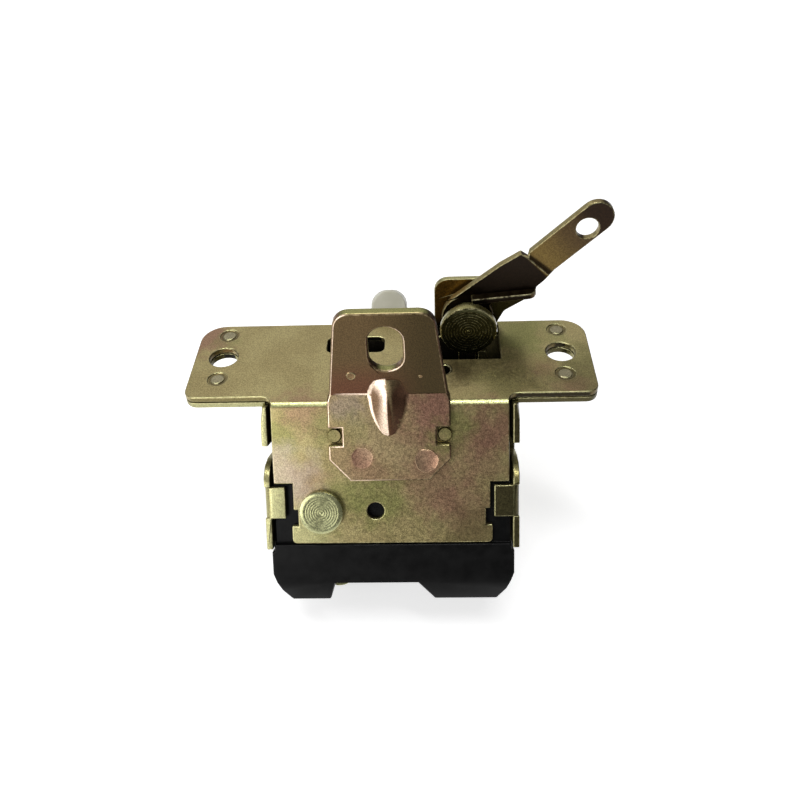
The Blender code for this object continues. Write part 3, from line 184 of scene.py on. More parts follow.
# %% [markdown]
# The world stands in for the room round the table. A picture of a real room could light the metal
# too, but satin metal only shows which side is pale, so a plain fall from left to right is enough.
# The floor is matt paper. Lamps alone would make it white only by burning out the object, so the
# paper glows by itself. The Light Path node shows the glow to the camera and to metal that mirrors
# it, and hides it from all other rays, so it puts no light on the lock and keeps its shadow.

# %% World, pale on the left and dark on the right
LEFT_SKY, RIGHT_SKY, SKY_FALL = 0.38, 0.12, 0.7
sky = world.node_tree
sky_way = add_node(sky, "ShaderNodeTexCoord", out="Generated")
sky_side = add_node(sky, "ShaderNodeSeparateXYZ", {0: sky_way}, out="X")
sky_level = add_node(sky, "ShaderNodeMapRange",
                     {0: sky_side, 1: -SKY_FALL, 2: SKY_FALL, 3: LEFT_SKY, 4: RIGHT_SKY},
                     **SMOOTH)
fill(sky, sky.nodes["Background"], {"Color": sky_level})
print("world level", LEFT_SKY, "on the left and", RIGHT_SKY, "on the right")

# %% Backdrop paper
PAPER_GLOW, FAR_GLOW = 0.55, 0.80    # added to what the lamps give, so open paper reaches white
FAR_START, FAR_END = 0.15, 0.80      # metres behind the object
paper = bpy.data.materials.new("white_backdrop_paper")
paper.use_nodes = True
paper_tree = paper.node_tree
rays = add_node(paper_tree, "ShaderNodeLightPath").node.outputs       # all outputs of the node
seen = rays["Is Camera Ray"]
for ray in ("Is Glossy Ray", "Is Transmission Ray"):
    seen = add_node(paper_tree, "ShaderNodeMath", {0: seen, 1: rays[ray]}, operation="MAXIMUM")
paper_place = add_node(paper_tree, "ShaderNodeTexCoord", out="Object")
paper_depth = add_node(paper_tree, "ShaderNodeSeparateXYZ", {0: paper_place}, out="Y")
glow = add_node(paper_tree, "ShaderNodeMapRange",
                {0: paper_depth, 1: FAR_START, 2: FAR_END, 3: PAPER_GLOW, 4: FAR_GLOW}, **SMOOTH)
glow = add_node(paper_tree, "ShaderNodeMath", {0: seen, 1: glow}, operation="MULTIPLY")
fill(paper_tree, paper_tree.nodes["Principled BSDF"],        # matt paper, which gives no glare
     {"Base Color": "#f2f2f2", "Roughness": 0.9, "Emission Color": "#ffffff",
      "Emission Strength": glow})
floor_mesh.materials.append(paper)
print("paper glow", PAPER_GLOW, "and far away", FAR_GLOW)

# %% [markdown]
# Yellow passivated zinc is a thin, cloudy film on bright metal. It has an even olive ground,
# patches of green and rose where the film is thicker, and a fine grain from the rolled sheet. The
# patches are placed one by one, as soft spots with an uneven border, because the eye knows this
# part by them. Faces are also toned by their direction, and these tones are painted light: faces
# that look to the front get a browner, darker tone as painted shade in place of the dark room they
# would mirror, faces that look right or down get painted shade, and some faces that look up or
# left get a paler tone as painted highlight. Rounded edges are painted paler, partly as wear and
# partly as a painted highlight that is strongest where they face the left lamp and the top, and
# the pieces below mark those faces with an attribute named `worn`. The real grain is about 0.1 mm,
# too fine for the picture, so it is drawn at 0.4 mm, with a softer one of 1 mm under it.

# %% Places on the part
SLOPE = radians(32.24)                     # of the plate, from the vertical
PLATE_TOP = Vector((0, -23.53, 4.3))       # top edge of the sloping plate's front, in millimetres
OUTWARD = Vector((0, -cos(SLOPE), sin(SLOPE)))
DOWNWARD = Vector((0, -sin(SLOPE), -cos(SLOPE)))
LEVER_ANGLE = radians(43.86)
LEVER_WAY = Vector((cos(LEVER_ANGLE), 0, sin(LEVER_ANGLE)))
ORIGIN = Vector((0, 0, 0))
ACROSS, FORWARD, UPWARD = Vector((1, 0, 0)), Vector((0, -1, 0)), Vector((0, 0, 1))
# Edges that face the left lamp and the top get the palest edge tone, a painted highlight.
LIT_EDGE_WAY = (Vector((-0.8, 0, 0.6)), -0.5, 0.1)    # painted highlight on lit edges
joints = {joint["name"]: joint for joint in frame["joints"]}


def on_plate(x, down, lift=0.0):
    """A point on the sloping plate, in metres: across, down the slope, and in front of it."""
    return (PLATE_TOP + Vector((x, 0, 0)) + DOWNWARD * down + OUTWARD * lift) * MM


def on_flange(x, y):
    """A point on top of the flange, in metres."""
    return Vector((x, y, PLATE_TOP.z)) * MM


print("the plate's foot lies at", [round(c, 4) for c in on_plate(0, 45)])

# %% [markdown]
# The tones of the film could be painted on an image, but then the piece would need an unwrapped
# map, and the paint would blur close up. Here each tone has a mask between 0 and 1 instead, made
# from the place and the direction of the surface: inside a ball, on faces that look one way, or
# beyond a line. The tones are then laid over each other like coats.

# %% Patterns that follow a place or a direction
CLOUD_FALLOFF = 0.55                       # how much finer layers of a cloud add to it
MIDDLE = {1: 0.35, 2: 0.65}                # most values of a cloud lie between these two
WIDE, WHOLE = {1: 0.3, 2: 0.7}, {1: 0.25, 2: 0.75}      # wider spans give a softer change
BORDER_LUMP, BORDER_DETAIL = 0.7, 3.0      # lumps of a patch's border, as a share of its radius


def clouds(tree, place, cell, detail=2.0, shift=0.0):
    """An uneven pattern with patches of one size, moved by `shift` so that two of them differ."""
    moved = add_node(tree, "ShaderNodeVectorMath", {0: place, 1: (shift, shift, shift)},
                     operation="ADD")
    return add_node(tree, "ShaderNodeTexNoise", {"Vector": moved, "Scale": 1 / cell,
                                                 "Detail": detail, "Roughness": CLOUD_FALLOFF})


def spot_mask(tree, place, spot, radius, soft):
    """One inside a ball round a spot, nothing outside it, with a soft and uneven border."""
    distance = add_node(tree, "ShaderNodeVectorMath", {0: place, 1: spot}, "Value",
                        operation="DISTANCE")
    lumps = clouds(tree, place, BORDER_LUMP * radius, BORDER_DETAIL, spot[0])
    uneven = add_node(tree, "ShaderNodeMapRange", {0: lumps, **WHOLE, 3: -soft, 4: soft})
    total = add_node(tree, "ShaderNodeMath", {0: distance, 1: uneven}, operation="ADD")
    return add_node(tree, "ShaderNodeMapRange",
                    {0: total, 1: radius - soft, 2: radius + soft, 3: 1.0, 4: 0.0}, **SMOOTH)


def faces(tree, way, low, high):
    """One on faces that look a given way, nothing on faces that look elsewhere."""
    normal = add_node(tree, "ShaderNodeNewGeometry", out="Normal")
    turned_to = add_node(tree, "ShaderNodeVectorMath", {0: normal, 1: way}, "Value",
                         operation="DOT_PRODUCT")
    return add_node(tree, "ShaderNodeMapRange", {0: turned_to, 1: low, 2: high}, **SMOOTH)


def beyond(tree, place, point, way, start, end):
    """Nothing up to `start` from a point along a direction, and one from `end` on."""
    offset = add_node(tree, "ShaderNodeVectorMath", {0: place, 1: point}, operation="SUBTRACT")
    distance = add_node(tree, "ShaderNodeVectorMath", {0: offset, 1: way}, "Value",
                        operation="DOT_PRODUCT")
    return add_node(tree, "ShaderNodeMapRange", {0: distance, 1: start, 2: end}, **SMOOTH)


def layered(tree, colour, layers):
    """Lays tones over a colour, one after another, each where its mask is one."""
    for tone, mask in layers:
        colour = add_node(tree, "ShaderNodeMix", {0: mask, 6: colour, 7: tone}, 2,
                          data_type="RGBA")
    return colour


print("patterns ready")

# %% Passivated sheet
ROSE, GREEN, SHADE, PALE = "#8c6356", "#7d7f49", "#4b3f24", "#b7b684"
# Painted shade: faces that look right, away from the left lamp, and faces that look down are painted darker.
SHADED_RIGHT_FACES = ("#5d5132", ACROSS, 0.15, 0.40)
SHADED_LOWER_FACES = ("#41371f", -UPWARD, 0.50, 0.80)
FRONT_FADE = 0.05                          # how softly the tone of front faces sets in
FILM_METALLIC = 0.85                       # the film dulls the metal under it a little
BROAD_CLOUD, SOFT_GRAIN, FINE_GRAIN = 14 * MM, 1.0 * MM, 0.38 * MM
FINE_SPAN = {1: 0.38, 2: 0.62}
FINE_DARK, FINE_LIGHT = 0.30, 0.34         # how far the fine grain darkens and lightens the tone
SOFT_DARK, SOFT_LIGHT = 0.08, 0.09         # how far the soft grain does
GLOSSIER, DULLER = 0.05, 0.07              # how far the roughness wanders
FILM_BUMP = 0.06 * MM                      # height of the soft grain


def passivated(name, ground, patches=(), front=(), lit_and_shaded_faces=(SHADED_RIGHT_FACES, SHADED_LOWER_FACES),
               front_from=0.87, roughness=0.33, grain=0.7, edge="#d0c99b", worn_and_lit_edge_share=0.45):
    """Passivated sheet. `patches` are (tone, spot, radius, share, softness). `front` lists the
    painted shade of faces that look to the front, each with where it starts: (tone, point, way,
    start, end). `lit_and_shaded_faces` paint shade and highlight on faces that look other ways:
    (tone, way, low, high)."""
    made, tree, shader, place = new_material(name, FILM_METALLIC)
    first_tone, second_tone = ground
    broad = add_node(tree, "ShaderNodeMapRange",
                     {0: clouds(tree, place, BROAD_CLOUD), **MIDDLE}, **SMOOTH)
    film = [(second_tone, broad)]
    for tone, spot, radius, share, soft in patches:
        mask = spot_mask(tree, place, spot, radius * MM, soft * radius * MM)
        film.append((tone, add_node(tree, "ShaderNodeMath", {0: mask, 1: share},
                                    operation="MULTIPLY")))
    if front:
        tones = [(tone, beyond(tree, place, point, way, start * MM, end * MM))
                 for tone, point, way, start, end in front[1:]]
        film.append((layered(tree, front[0], tones),
                     faces(tree, FORWARD, front_from, front_from + FRONT_FADE)))
    film += [(tone, faces(tree, way, low, high)) for tone, way, low, high in lit_and_shaded_faces]
    fine = clouds(tree, place, FINE_GRAIN, 1.0, 0.3)
    coarse = clouds(tree, place, SOFT_GRAIN, 2.0, 0.7)
    speck = add_node(tree, "ShaderNodeMapRange",
                     {0: fine, **FINE_SPAN, 3: 1 - FINE_DARK * grain, 4: 1 + FINE_LIGHT * grain})
    cloud = add_node(tree, "ShaderNodeMapRange",
                     {0: coarse, **MIDDLE, 3: 1 - SOFT_DARK * grain, 4: 1 + SOFT_LIGHT * grain})
    shade = add_node(tree, "ShaderNodeMath", {0: speck, 1: cloud}, operation="MULTIPLY")
    colour = add_node(tree, "ShaderNodeVectorMath",
                      {0: layered(tree, first_tone, film), "Scale": shade}, operation="SCALE")
    # Painted highlight and wear: rounded edges are painted paler, most where they face the lamp.
    rubbed = add_node(tree, "ShaderNodeAttribute", out="Fac", attribute_name="worn")
    patchy = add_node(tree, "ShaderNodeMapRange", {0: coarse, **WIDE, 4: worn_and_lit_edge_share}, **SMOOTH)
    for share in (patchy, faces(tree, *LIT_EDGE_WAY)):
        rubbed = add_node(tree, "ShaderNodeMath", {0: rubbed, 1: share}, operation="MULTIPLY")
    gloss = add_node(tree, "ShaderNodeMapRange",
                     {0: coarse, **MIDDLE, 3: roughness - GLOSSIER, 4: roughness + DULLER})
    bump = add_node(tree, "ShaderNodeBump",
                    {"Height": coarse, "Strength": 0.4 * grain, "Distance": FILM_BUMP})
    fill(tree, shader, {"Base Color": layered(tree, colour, [(edge, rubbed)]),
                        "Roughness": gloss, "Normal": bump})
    return made


SOFT, CRISP = 0.65, 0.06             # border of a patch, as a share of its radius
# Besides the film's tones, this list holds painted shade: SHADE beside the bracket is the painted shadow of
# bracket and pin, and SHADE low on the plate's right and the dark olive patch on the right wing darken that side.
PLATE_FILM = [(tone, on_flange(x, y), radius, share, SOFT) for tone, x, y, radius, share in (
    (ROSE, -62, 10, 7, 0.7), (GREEN, 43.7, 9, 10, 0.7), (SHADE, 22, -10, 5, 0.6),
    (ROSE, 57, -17, 6, 0.45), (ROSE, 50, -9, 4, 0.4), (GREEN, -56, 9, 4, 0.4),
    (GREEN, 58, -5, 9, 0.35), (GREEN, 36, -16, 8, 0.3), ("#55502f", 66, -13, 13, 0.5))]
PLATE_FILM.append(("#2a2210", on_flange(17, -8.2), 2.9, 0.9, CRISP))    # painted shade of the hole
CLINCH_X, CLINCH_FRONT_Y, CLINCH_REAR_Y = 55.5, -11.0, 11.7
clinches = [(side * CLINCH_X, y) for side in (-1, 1) for y in (CLINCH_FRONT_Y, CLINCH_REAR_Y)]
for x, y in clinches:                # painted shade in a groove round a greyer button
    PLATE_FILM += [("#4a4128", on_flange(x, y), 2.95, 0.7, CRISP),
                   ("#928a6e", on_flange(x, y), 2.3, 1.0, CRISP)]
PLATE_FILM += [(tone, on_plate(x, down), radius, share, SOFT)
               for tone, x, down, radius, share in (
    (ROSE, -27, 2, 7, 0.5), (GREEN, -35, 10, 6, 0.6), (GREEN, -20, 8, 5, 0.4),
    (ROSE, -26, 25, 6, 0.4), (GREEN, -3, 31, 8, 0.7), (GREEN, -13, 29, 6, 0.6),
    (GREEN, -22, 38, 5, 0.6), (ROSE, 14, 27, 9, 0.55), (ROSE, 22, 33, 9, 0.35),
    (ROSE, 31, 9, 8, 0.65), (ROSE, 28, 18, 8, 0.4), (GREEN, 21, 8, 5, 0.6),
    ("#b3a494", -33, 24, 9, 0.6), (PALE, -29, 43, 9, 0.6), (SHADE, 29, 44, 12, 0.5))]
# Plate faces that look to the front get painted shade: on the walls of its openings and its front edges, a deep
# painted shadow in the middle, and darkest towards the right.
WALL_SHADE, DEEP_SHADOW, EDGE_SHADE = "#5d4826", "#100d07", "#756b45"
# Painted highlight on the bend from flange to slope, paler than the lamp alone makes it.
LIT_BEND = ("#bcbd86", Vector((0, -0.48, 0.88)), 0.955, 0.985)      # painted highlight on the bend
plate_zinc = passivated(                   # front plate: painted shade on walls and front edges
    "yellow_passivated_zinc", ("#a5986a", "#9a8c60"), PLATE_FILM,
    front=(WALL_SHADE, (DEEP_SHADOW, ORIGIN, ACROSS, -38.0, -34.0), (WALL_SHADE, ORIGIN, ACROSS, 40.0, 44.0),
           (EDGE_SHADE, ORIGIN, FORWARD, 10.0, 14.0), ("#231d0d", ORIGIN, ACROSS, 28.0, 36.0)),
    lit_and_shaded_faces=(SHADED_RIGHT_FACES, SHADED_LOWER_FACES, LIT_BEND))
# Casing faces that look to the front get painted shadow, lighter and brown on the tab, while the front edges of
# the ears keep the ground tone; faces that look right get painted shade, and so do front faces on the right.
casing_zinc = passivated(                  # rear casing: painted shade inside and on its tab
    "yellow_passivated_zinc_casing", ("#a5a072", "#8d8558"), (), front_from=0.79,
    front=(DEEP_SHADOW, ("#6b5020", ORIGIN, UPWARD, 4.0, 9.0), ("#a29f74", ORIGIN, FORWARD, 12.0, 15.0),
           ("#474229", ORIGIN, ACROSS, 28.0, 30.0)),
    lit_and_shaded_faces=(("#454026", ACROSS, 0.15, 0.40), SHADED_LOWER_FACES))
WELDS = ((-8.5, 16.6), (11.3, 17.7))       # across and down the plate
BRACKET_LIFT = 3.3                         # front of the bracket's foot, in front of the plate
BRACKET_FILM = [(tone, on_plate(x, down, BRACKET_LIFT), radius, share, SOFT)
                for tone, x, down, radius, share in (
    ("#8d7f74", -13, 0, 5, 0.5), (ROSE, 13, 3, 9, 0.8), (ROSE, 12, 22, 7, 0.4),
    (GREEN, 17, 11, 5, 0.6), (ROSE, -7, 21, 5, 0.3), (GREEN, -12, 8, 5, 0.35))]
BRACKET_FILM += [("#85574c", on_plate(*weld, BRACKET_LIFT), 3.9, 0.35, 0.25) for weld in WELDS]
# The bracket's direction tones are painted light. Painted shade browns its upright, deepens towards the right and
# darkens faces that look right or down. On the rib's left flank the tone runs from brown to a painted highlight at
# the crest, edges that look left get a painted highlight, and faces that look up get an olive painted reflection.
bracket_zinc = passivated(                 # guide bracket: painted shade browns its upright
    "bronze_passivated_zinc_bracket", ("#a3906a", "#98835f"), BRACKET_FILM,
    front=("#55442b", ("#593a28", ORIGIN, -UPWARD, -24.0, -11.0),
           ("#382d17", ORIGIN, ACROSS, -9.0, 13.0)),
    lit_and_shaded_faces=(("#402a1b", ACROSS, 0.08, 0.45), ("#dcc4ae", -ACROSS, 0.02, 0.12),
           ("#7a6048", -ACROSS, 0.36, 0.52), ("#c4b594", -ACROSS, 0.88, 0.97), SHADED_LOWER_FACES,
           ("#8e8b56", UPWARD, 0.75, 0.95)), edge="#b9a680", worn_and_lit_edge_share=0.4)
weld_zinc = passivated(                    # browned by the heat of the weld
    "heat_tinted_zinc_weld_mark", ("#a68a6e", "#99755f"), lit_and_shaded_faces=(), worn_and_lit_edge_share=0.3)
punched_zinc = passivated(                 # browner where the punch has broken the film
    "worn_zinc_punch_mark", ("#7d6648", "#6b5439"), lit_and_shaded_faces=())
LEVER_AXIS = Vector(joints["lever_turn"]["pos_m"])
LIP_Y = 9.5
# The folded lip is darkened with painted shade, one crisp spot after another along it.
LIP_SHADE = [("#2b2012", Vector((x, LIP_Y, z)) * MM, 3.4, 0.95, CRISP)      # lip's painted shade
            for x, z in ((29.5, 17.4), (33, 18), (37, 18.7), (41, 19.4), (45, 20.1))]
# The lever's direction tones are painted light. Painted shade darkens its web, the front of its arm, its tip and
# faces that look right or down, and makes faces that look out from the plate near black. A paler band across the
# joggle and its top edges are painted highlight.
lever_zinc = passivated(                   # release lever: painted shade and highlight
    "bronze_passivated_zinc_lever", ("#8a7c50", "#7b6a44"), LIP_SHADE,
    front=("#1d140b", ("#6b5830", LEVER_AXIS, LEVER_WAY, 28.2, 29.2),
           ("#4a3a24", LEVER_AXIS, LEVER_WAY, 31.0, 44.0),
           ("#261a10", LEVER_AXIS, LEVER_WAY, 43.0, 52.0)),
    lit_and_shaded_faces=(("#4a3a22", ACROSS, 0.15, 0.40), SHADED_LOWER_FACES, ("#17120b", OUTWARD, 0.97, 0.99),
           ("#a59868", Vector((-sin(LEVER_ANGLE), 0, cos(LEVER_ANGLE))), 0.9, 0.98)),
    grain=0.6)
# The pin's face is near black as painted shade, faces that look right or down get painted shade, and its rim gets
# a strong painted highlight.
pin_zinc = passivated(                     # turned pin: painted shade on its face
    "olive_passivated_zinc_pin", ("#8f8858", "#7a7348"), (), front=("#3a3920",), roughness=0.28,
    lit_and_shaded_faces=(("#6b6438", ACROSS, 0.15, 0.40), SHADED_LOWER_FACES), grain=0.4, worn_and_lit_edge_share=0.75)
rivet_zinc = passivated(                   # rivet and fork: the palest and most glossy film
    "pale_passivated_zinc_rivet", ("#a3a57b", "#94946c"), (), lit_and_shaded_faces=(SHADED_LOWER_FACES,),
    roughness=0.24, grain=0.4)
print("passivated finishes ready")

# %% [markdown]
# The hidden spacers, washers and springs are bare steel: an even grey that mirrors a little more
# than the film does, with dull patches of oil. The housing, the buffer and the cap are moulded.
# Their colour is even, and the eye knows them by a broad, soft gloss over the fine grain that the
# mould has left. The IOR of plastics is about 1.5, and the housing's is lowered to match the
# object, whose open grain mirrors little.

# %% Bare steel
STEEL_GRAIN, OIL_PATCH = 0.5 * MM, 6 * MM  # the real grain of 0.1 mm is drawn coarser, to show
STEEL_DARK, STEEL_LIGHT = 0.85, 1.12       # share of the tone in the grain's hollows and crests
STEEL_GLOSSIER, STEEL_DULLER = 0.06, 0.08
STEEL_BUMP = 0.03 * MM


def plain_metal(name, tone, dull_tone, roughness):
    """Bare or drawn steel: an even grey with dull patches of oil."""
    made, tree, shader, place = new_material(name, 1.0)
    grain = clouds(tree, place, STEEL_GRAIN)
    shade = add_node(tree, "ShaderNodeMapRange",
                     {0: grain, **WIDE, 3: STEEL_DARK, 4: STEEL_LIGHT})
    dull = add_node(tree, "ShaderNodeMapRange",
                    {0: clouds(tree, place, OIL_PATCH), **MIDDLE}, **SMOOTH)
    colour = add_node(tree, "ShaderNodeVectorMath",
                      {0: layered(tree, tone, [(dull_tone, dull)]), "Scale": shade},
                      operation="SCALE")
    gloss = add_node(tree, "ShaderNodeMapRange",
                     {0: grain, 1: 0.2, 2: 0.8, 3: roughness - STEEL_GLOSSIER,
                      4: roughness + STEEL_DULLER})
    bump = add_node(tree, "ShaderNodeBump",
                    {"Height": grain, "Strength": 0.3, "Distance": STEEL_BUMP})
    fill(tree, shader, {"Base Color": colour, "Roughness": gloss, "Normal": bump})
    return made


steel = plain_metal("bare_oiled_steel", "#85857f", "#6f6c62", 0.34)
spring_steel = plain_metal("drawn_spring_wire", "#6b6b6e", "#5a5a5c", 0.28)
print("steel ready")

# %% Plastics and rubber
TONE_PATCH, GLOSS_PATCH = 7 * MM, 3 * MM
RUBBED_SHARE = 0.5                         # how far a rounded edge goes to the lighter tone
GLOSS_SWING = 0.06                         # how far the roughness wanders, both ways


def moulded(name, tone, light_tone, roughness, bump_height, cell, sockets=()):
    """Moulded material with a spark-eroded grain, drawn coarser than the real 0.1 mm so that it
    shows, and a slightly uneven gloss. Its rounded edges are rubbed lighter."""
    made, tree, shader, place = new_material(name)
    light = add_node(tree, "ShaderNodeMapRange",
                     {0: clouds(tree, place, TONE_PATCH, 3.0, 0.4), 1: 0.4, 2: 0.7}, **SMOOTH)
    worn = add_node(tree, "ShaderNodeAttribute", out="Fac", attribute_name="worn")
    rubbed = add_node(tree, "ShaderNodeMath", {0: worn, 1: RUBBED_SHARE}, operation="MULTIPLY")
    gloss = add_node(tree, "ShaderNodeMapRange",
                     {0: clouds(tree, place, GLOSS_PATCH, 2.0, 0.9), **WIDE,
                      3: roughness - GLOSS_SWING, 4: roughness + GLOSS_SWING}, **SMOOTH)
    bump = add_node(tree, "ShaderNodeBump",
                    {"Height": clouds(tree, place, cell), "Strength": 0.4,
                     "Distance": bump_height})
    colour = layered(tree, tone, [(light_tone, light), (light_tone, rubbed)])
    fill(tree, shader, {"Base Color": colour, "Roughness": gloss, "Normal": bump})
    fill(tree, shader, sockets)
    return made


black_plastic = moulded(                   # near black, with a soft gloss
    "black_moulded_plastic", "#050505", "#0d0d0d", 0.36, 0.03 * MM, 0.35 * MM, {"IOR": 1.22})
nylon = moulded(                           # light goes in a little, so the cap's shades are soft
    "natural_nylon", "#b4b2a2", "#c2c0b1", 0.38, 0.02 * MM, 0.8 * MM,
    {"Subsurface Weight": 0.25, "Subsurface Scale": 1.0 * MM,
     "Subsurface Radius": (1.0, 0.95, 0.85)})
rubber = moulded(                          # dull all over
    "black_rubber", "#0e0e0e", "#1b1b1a", 0.75, 0.05 * MM, 0.3 * MM)
print("plastics ready")

# %% [markdown]
# Real sheet metal has a small radius on every edge, and that radius catches the light. Each of
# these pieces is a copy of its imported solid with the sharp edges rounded. The copy keeps the
# solid's faces where they are, and the faces of the new radius are marked as worn. A Bevel modifier
# would round them too, but bmesh hands back the new faces, so that they can be marked. Only edges
# that stick out are rounded, because a press leaves the inner corners sharp.

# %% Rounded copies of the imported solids
body_of_node = {node: body for body, members in frame["record"]["behaviour"]["bodies"].items()
                for node in members}


def stands_for(piece, node):
    """Lets a piece ride with a node's body and replace it, which is hidden."""
    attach(piece, body_of_node[node])
    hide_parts(node)


def plain_mesh(obj, name):
    """Applies an object's modifiers, and returns a plain object with the result."""
    graph = bpy.context.evaluated_depsgraph_get()
    mesh = bpy.data.meshes.new_from_object(obj.evaluated_get(graph))
    bpy.data.objects.remove(obj, do_unlink=True)
    made = bpy.data.objects.new(name, mesh)
    scene.collection.objects.link(made)
    return made


MERGE_REACH = 0.03 * MM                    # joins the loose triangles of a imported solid
FLAT_WITHIN = radians(1)                   # triangles as level as this become one face again
CORNER_FROM = radians(50)                  # edges that turn by more than this are rounded
SHEET_SHADING = radians(38)                # edges that still turn by more than this stay crisp
ROUNDING_STEPS = 2


def rounded_copy(node, radius, finish):
    """A copy of a node with its sharp edges rounded and its flat faces kept flat."""
    bm = bmesh.new()
    bm.from_mesh(nodes[node].data)
    bm.transform(nodes[node].matrix_world)
    bmesh.ops.remove_doubles(bm, verts=bm.verts, dist=MERGE_REACH)
    bmesh.ops.dissolve_limit(bm, angle_limit=FLAT_WITHIN, verts=bm.verts, edges=bm.edges)
    edges = [edge for edge in bm.edges if len(edge.link_faces) == 2
             and edge.calc_face_angle_signed(0) > CORNER_FROM]
    worn = bm.faces.layers.float.new("worn")
    round_faces = bmesh.ops.bevel(bm, geom=edges, offset=radius, segments=ROUNDING_STEPS,
                                  profile=0.5, affect="EDGES", clamp_overlap=False)["faces"]
    for face in round_faces:
        face[worn] = 1.0
    mesh = bpy.data.meshes.new(node + "_rounded")
    bm.to_mesh(mesh)
    bm.free()
    mesh.materials.clear()
    mesh.materials.append(finish)
    mesh.shade_smooth()
    mesh.set_sharp_from_angle(angle=SHEET_SHADING)
    rough = bpy.data.objects.new(node + "_rounded", mesh)
    scene.collection.objects.link(rough)
    even = rough.modifiers.new("even_shading", "WEIGHTED_NORMAL")
    even.keep_sharp = True
    piece = plain_mesh(rough, node + "_rounded")
    stands_for(piece, node)
    return piece


SHEET_EDGE = 0.30 * MM
ROUNDED = (("front_plate", 0.40 * MM, plate_zinc), ("rear_casing", SHEET_EDGE, casing_zinc),
           ("guide_bracket", 0.60 * MM, bracket_zinc), ("release_lever", 0.35 * MM, lever_zinc),
           ("striker_housing", 0.55 * MM, black_plastic), ("nylon_cap", 0.50 * MM, nylon),
           ("release_arm", SHEET_EDGE, casing_zinc), ("release_crank", SHEET_EDGE, casing_zinc),
           ("fork", SHEET_EDGE, rivet_zinc), ("pawl", SHEET_EDGE, steel))
for node, radius, finish in ROUNDED:
    piece = rounded_copy(node, radius, finish)
    print(piece.name, len(piece.data.polygons))

# %% [markdown]
# The nylon cap is a dome that is steeper on its right. Its upper part is drawn in towards a ridge
# that lies a little to the right of its middle. The dome could be sculpted by hand, but one rule
# moves every vertex here: the higher it lies, the further it goes towards the ridge.

# %% Dome of the nylon cap
cap_mesh = bpy.data.objects["nylon_cap_rounded"].data
cap_low, cap_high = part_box("nylon_cap")
DOME_HEIGHT, RIDGE_SHIFT = 7.0 * MM, 1.0 * MM
DOME_DRAW = 0.42                           # how far the very top goes towards the ridge
ridge_x = (cap_low[0] + cap_high[0]) / 2 + RIDGE_SHIFT
for vertex in cap_mesh.vertices:
    rise = max(0.0, (vertex.co.z - cap_high[2] + DOME_HEIGHT) / DOME_HEIGHT)
    vertex.co.x += (ridge_x - vertex.co.x) * DOME_DRAW * rise ** 2
print("cap ridge at x", round(ridge_x, 4))

# %% [markdown]
# The two big heads, the collar and the round marks are all turned or pressed about an axis, so each
# is one line of points swept round. A Screw modifier turns such a line as well, but here the wear
# that is marked on its points has to reach the faces. So Geometry Nodes do the sweep: a grid gets
# one column of vertices for each point of the line and one row for each step round the axis, and is
# then bent into place. One tree serves every round piece, with the line, the steps and the finish
# as its inputs.

# %% A lathe in Geometry Nodes
SEAM_REACH = 0.002 * MM                    # closes the seam and the points on the axis


def lathe_tree():
    """Sweeps a line of points once round the Z axis, and carries its `worn` mark to the faces."""
    tree = bpy.data.node_groups.new("lathe", "GeometryNodeTree")
    for name, kind in (("Line", "NodeSocketGeometry"), ("Steps", "NodeSocketInt"),
                       ("Finish", "NodeSocketMaterial")):
        tree.interface.new_socket(name, in_out="INPUT", socket_type=kind)
    tree.interface.new_socket("Turned", in_out="OUTPUT", socket_type="NodeSocketGeometry")
    given = add_node(tree, "NodeGroupInput").node.outputs      # all inputs of the tree
    columns = add_node(tree, "GeometryNodeAttributeDomainSize", {"Geometry": given["Line"]},
                       "Point Count")
    rows = add_node(tree, "ShaderNodeMath", {0: given["Steps"], 1: 1.0}, operation="ADD")
    grid = add_node(tree, "GeometryNodeMeshGrid", {"Vertices X": columns, "Vertices Y": rows})
    index = add_node(tree, "GeometryNodeInputIndex")
    column_of = []
    for count in (rows, given["Steps"]):           # vertices and faces in one column
        share = add_node(tree, "ShaderNodeMath", {0: index, 1: count}, operation="DIVIDE")
        column_of.append(add_node(tree, "ShaderNodeMath", {0: share}, operation="FLOOR"))
    row = add_node(tree, "ShaderNodeMath", {0: index, 1: rows}, operation="MODULO")
    part_of_turn = add_node(tree, "ShaderNodeMath", {0: row, 1: given["Steps"]},
                            operation="DIVIDE")
    angle = add_node(tree, "ShaderNodeMath", {0: part_of_turn, 1: 2 * pi}, operation="MULTIPLY")
    on_line = add_node(tree, "GeometryNodeSampleIndex",
                       {"Geometry": given["Line"], "Index": column_of[0],
                        "Value": add_node(tree, "GeometryNodeInputPosition")},
                       data_type="FLOAT_VECTOR")
    swept = add_node(tree, "ShaderNodeVectorRotate", {"Vector": on_line, "Angle": angle},
                     rotation_type="Z_AXIS")
    shaped = add_node(tree, "GeometryNodeSetPosition", {"Geometry": grid, "Position": swept})
    mark = add_node(tree, "GeometryNodeInputNamedAttribute", {"Name": "worn"})
    worn = add_node(tree, "GeometryNodeSampleIndex",
                    {"Geometry": given["Line"], "Index": column_of[1], "Value": mark})
    marked = add_node(tree, "GeometryNodeStoreNamedAttribute",
                      {"Geometry": shaped, "Name": "worn", "Value": worn}, domain="FACE")
    closed = add_node(tree, "GeometryNodeMergeByDistance",
                      {"Geometry": marked, "Distance": SEAM_REACH})
    realized = add_node(tree, "GeometryNodeRealizeInstances", {"Geometry": closed})
    finished = add_node(tree, "GeometryNodeSetMaterial",
                        {"Geometry": realized, "Material": given["Finish"]})
    add_node(tree, "NodeGroupOutput", {"Turned": finished})
    return tree


LATHE = lathe_tree()
LATHE_INPUTS = {item.name: item.identifier for item in LATHE.interface.items_tree
                if item.in_out == "INPUT"}
print("lathe inputs", sorted(LATHE_INPUTS))

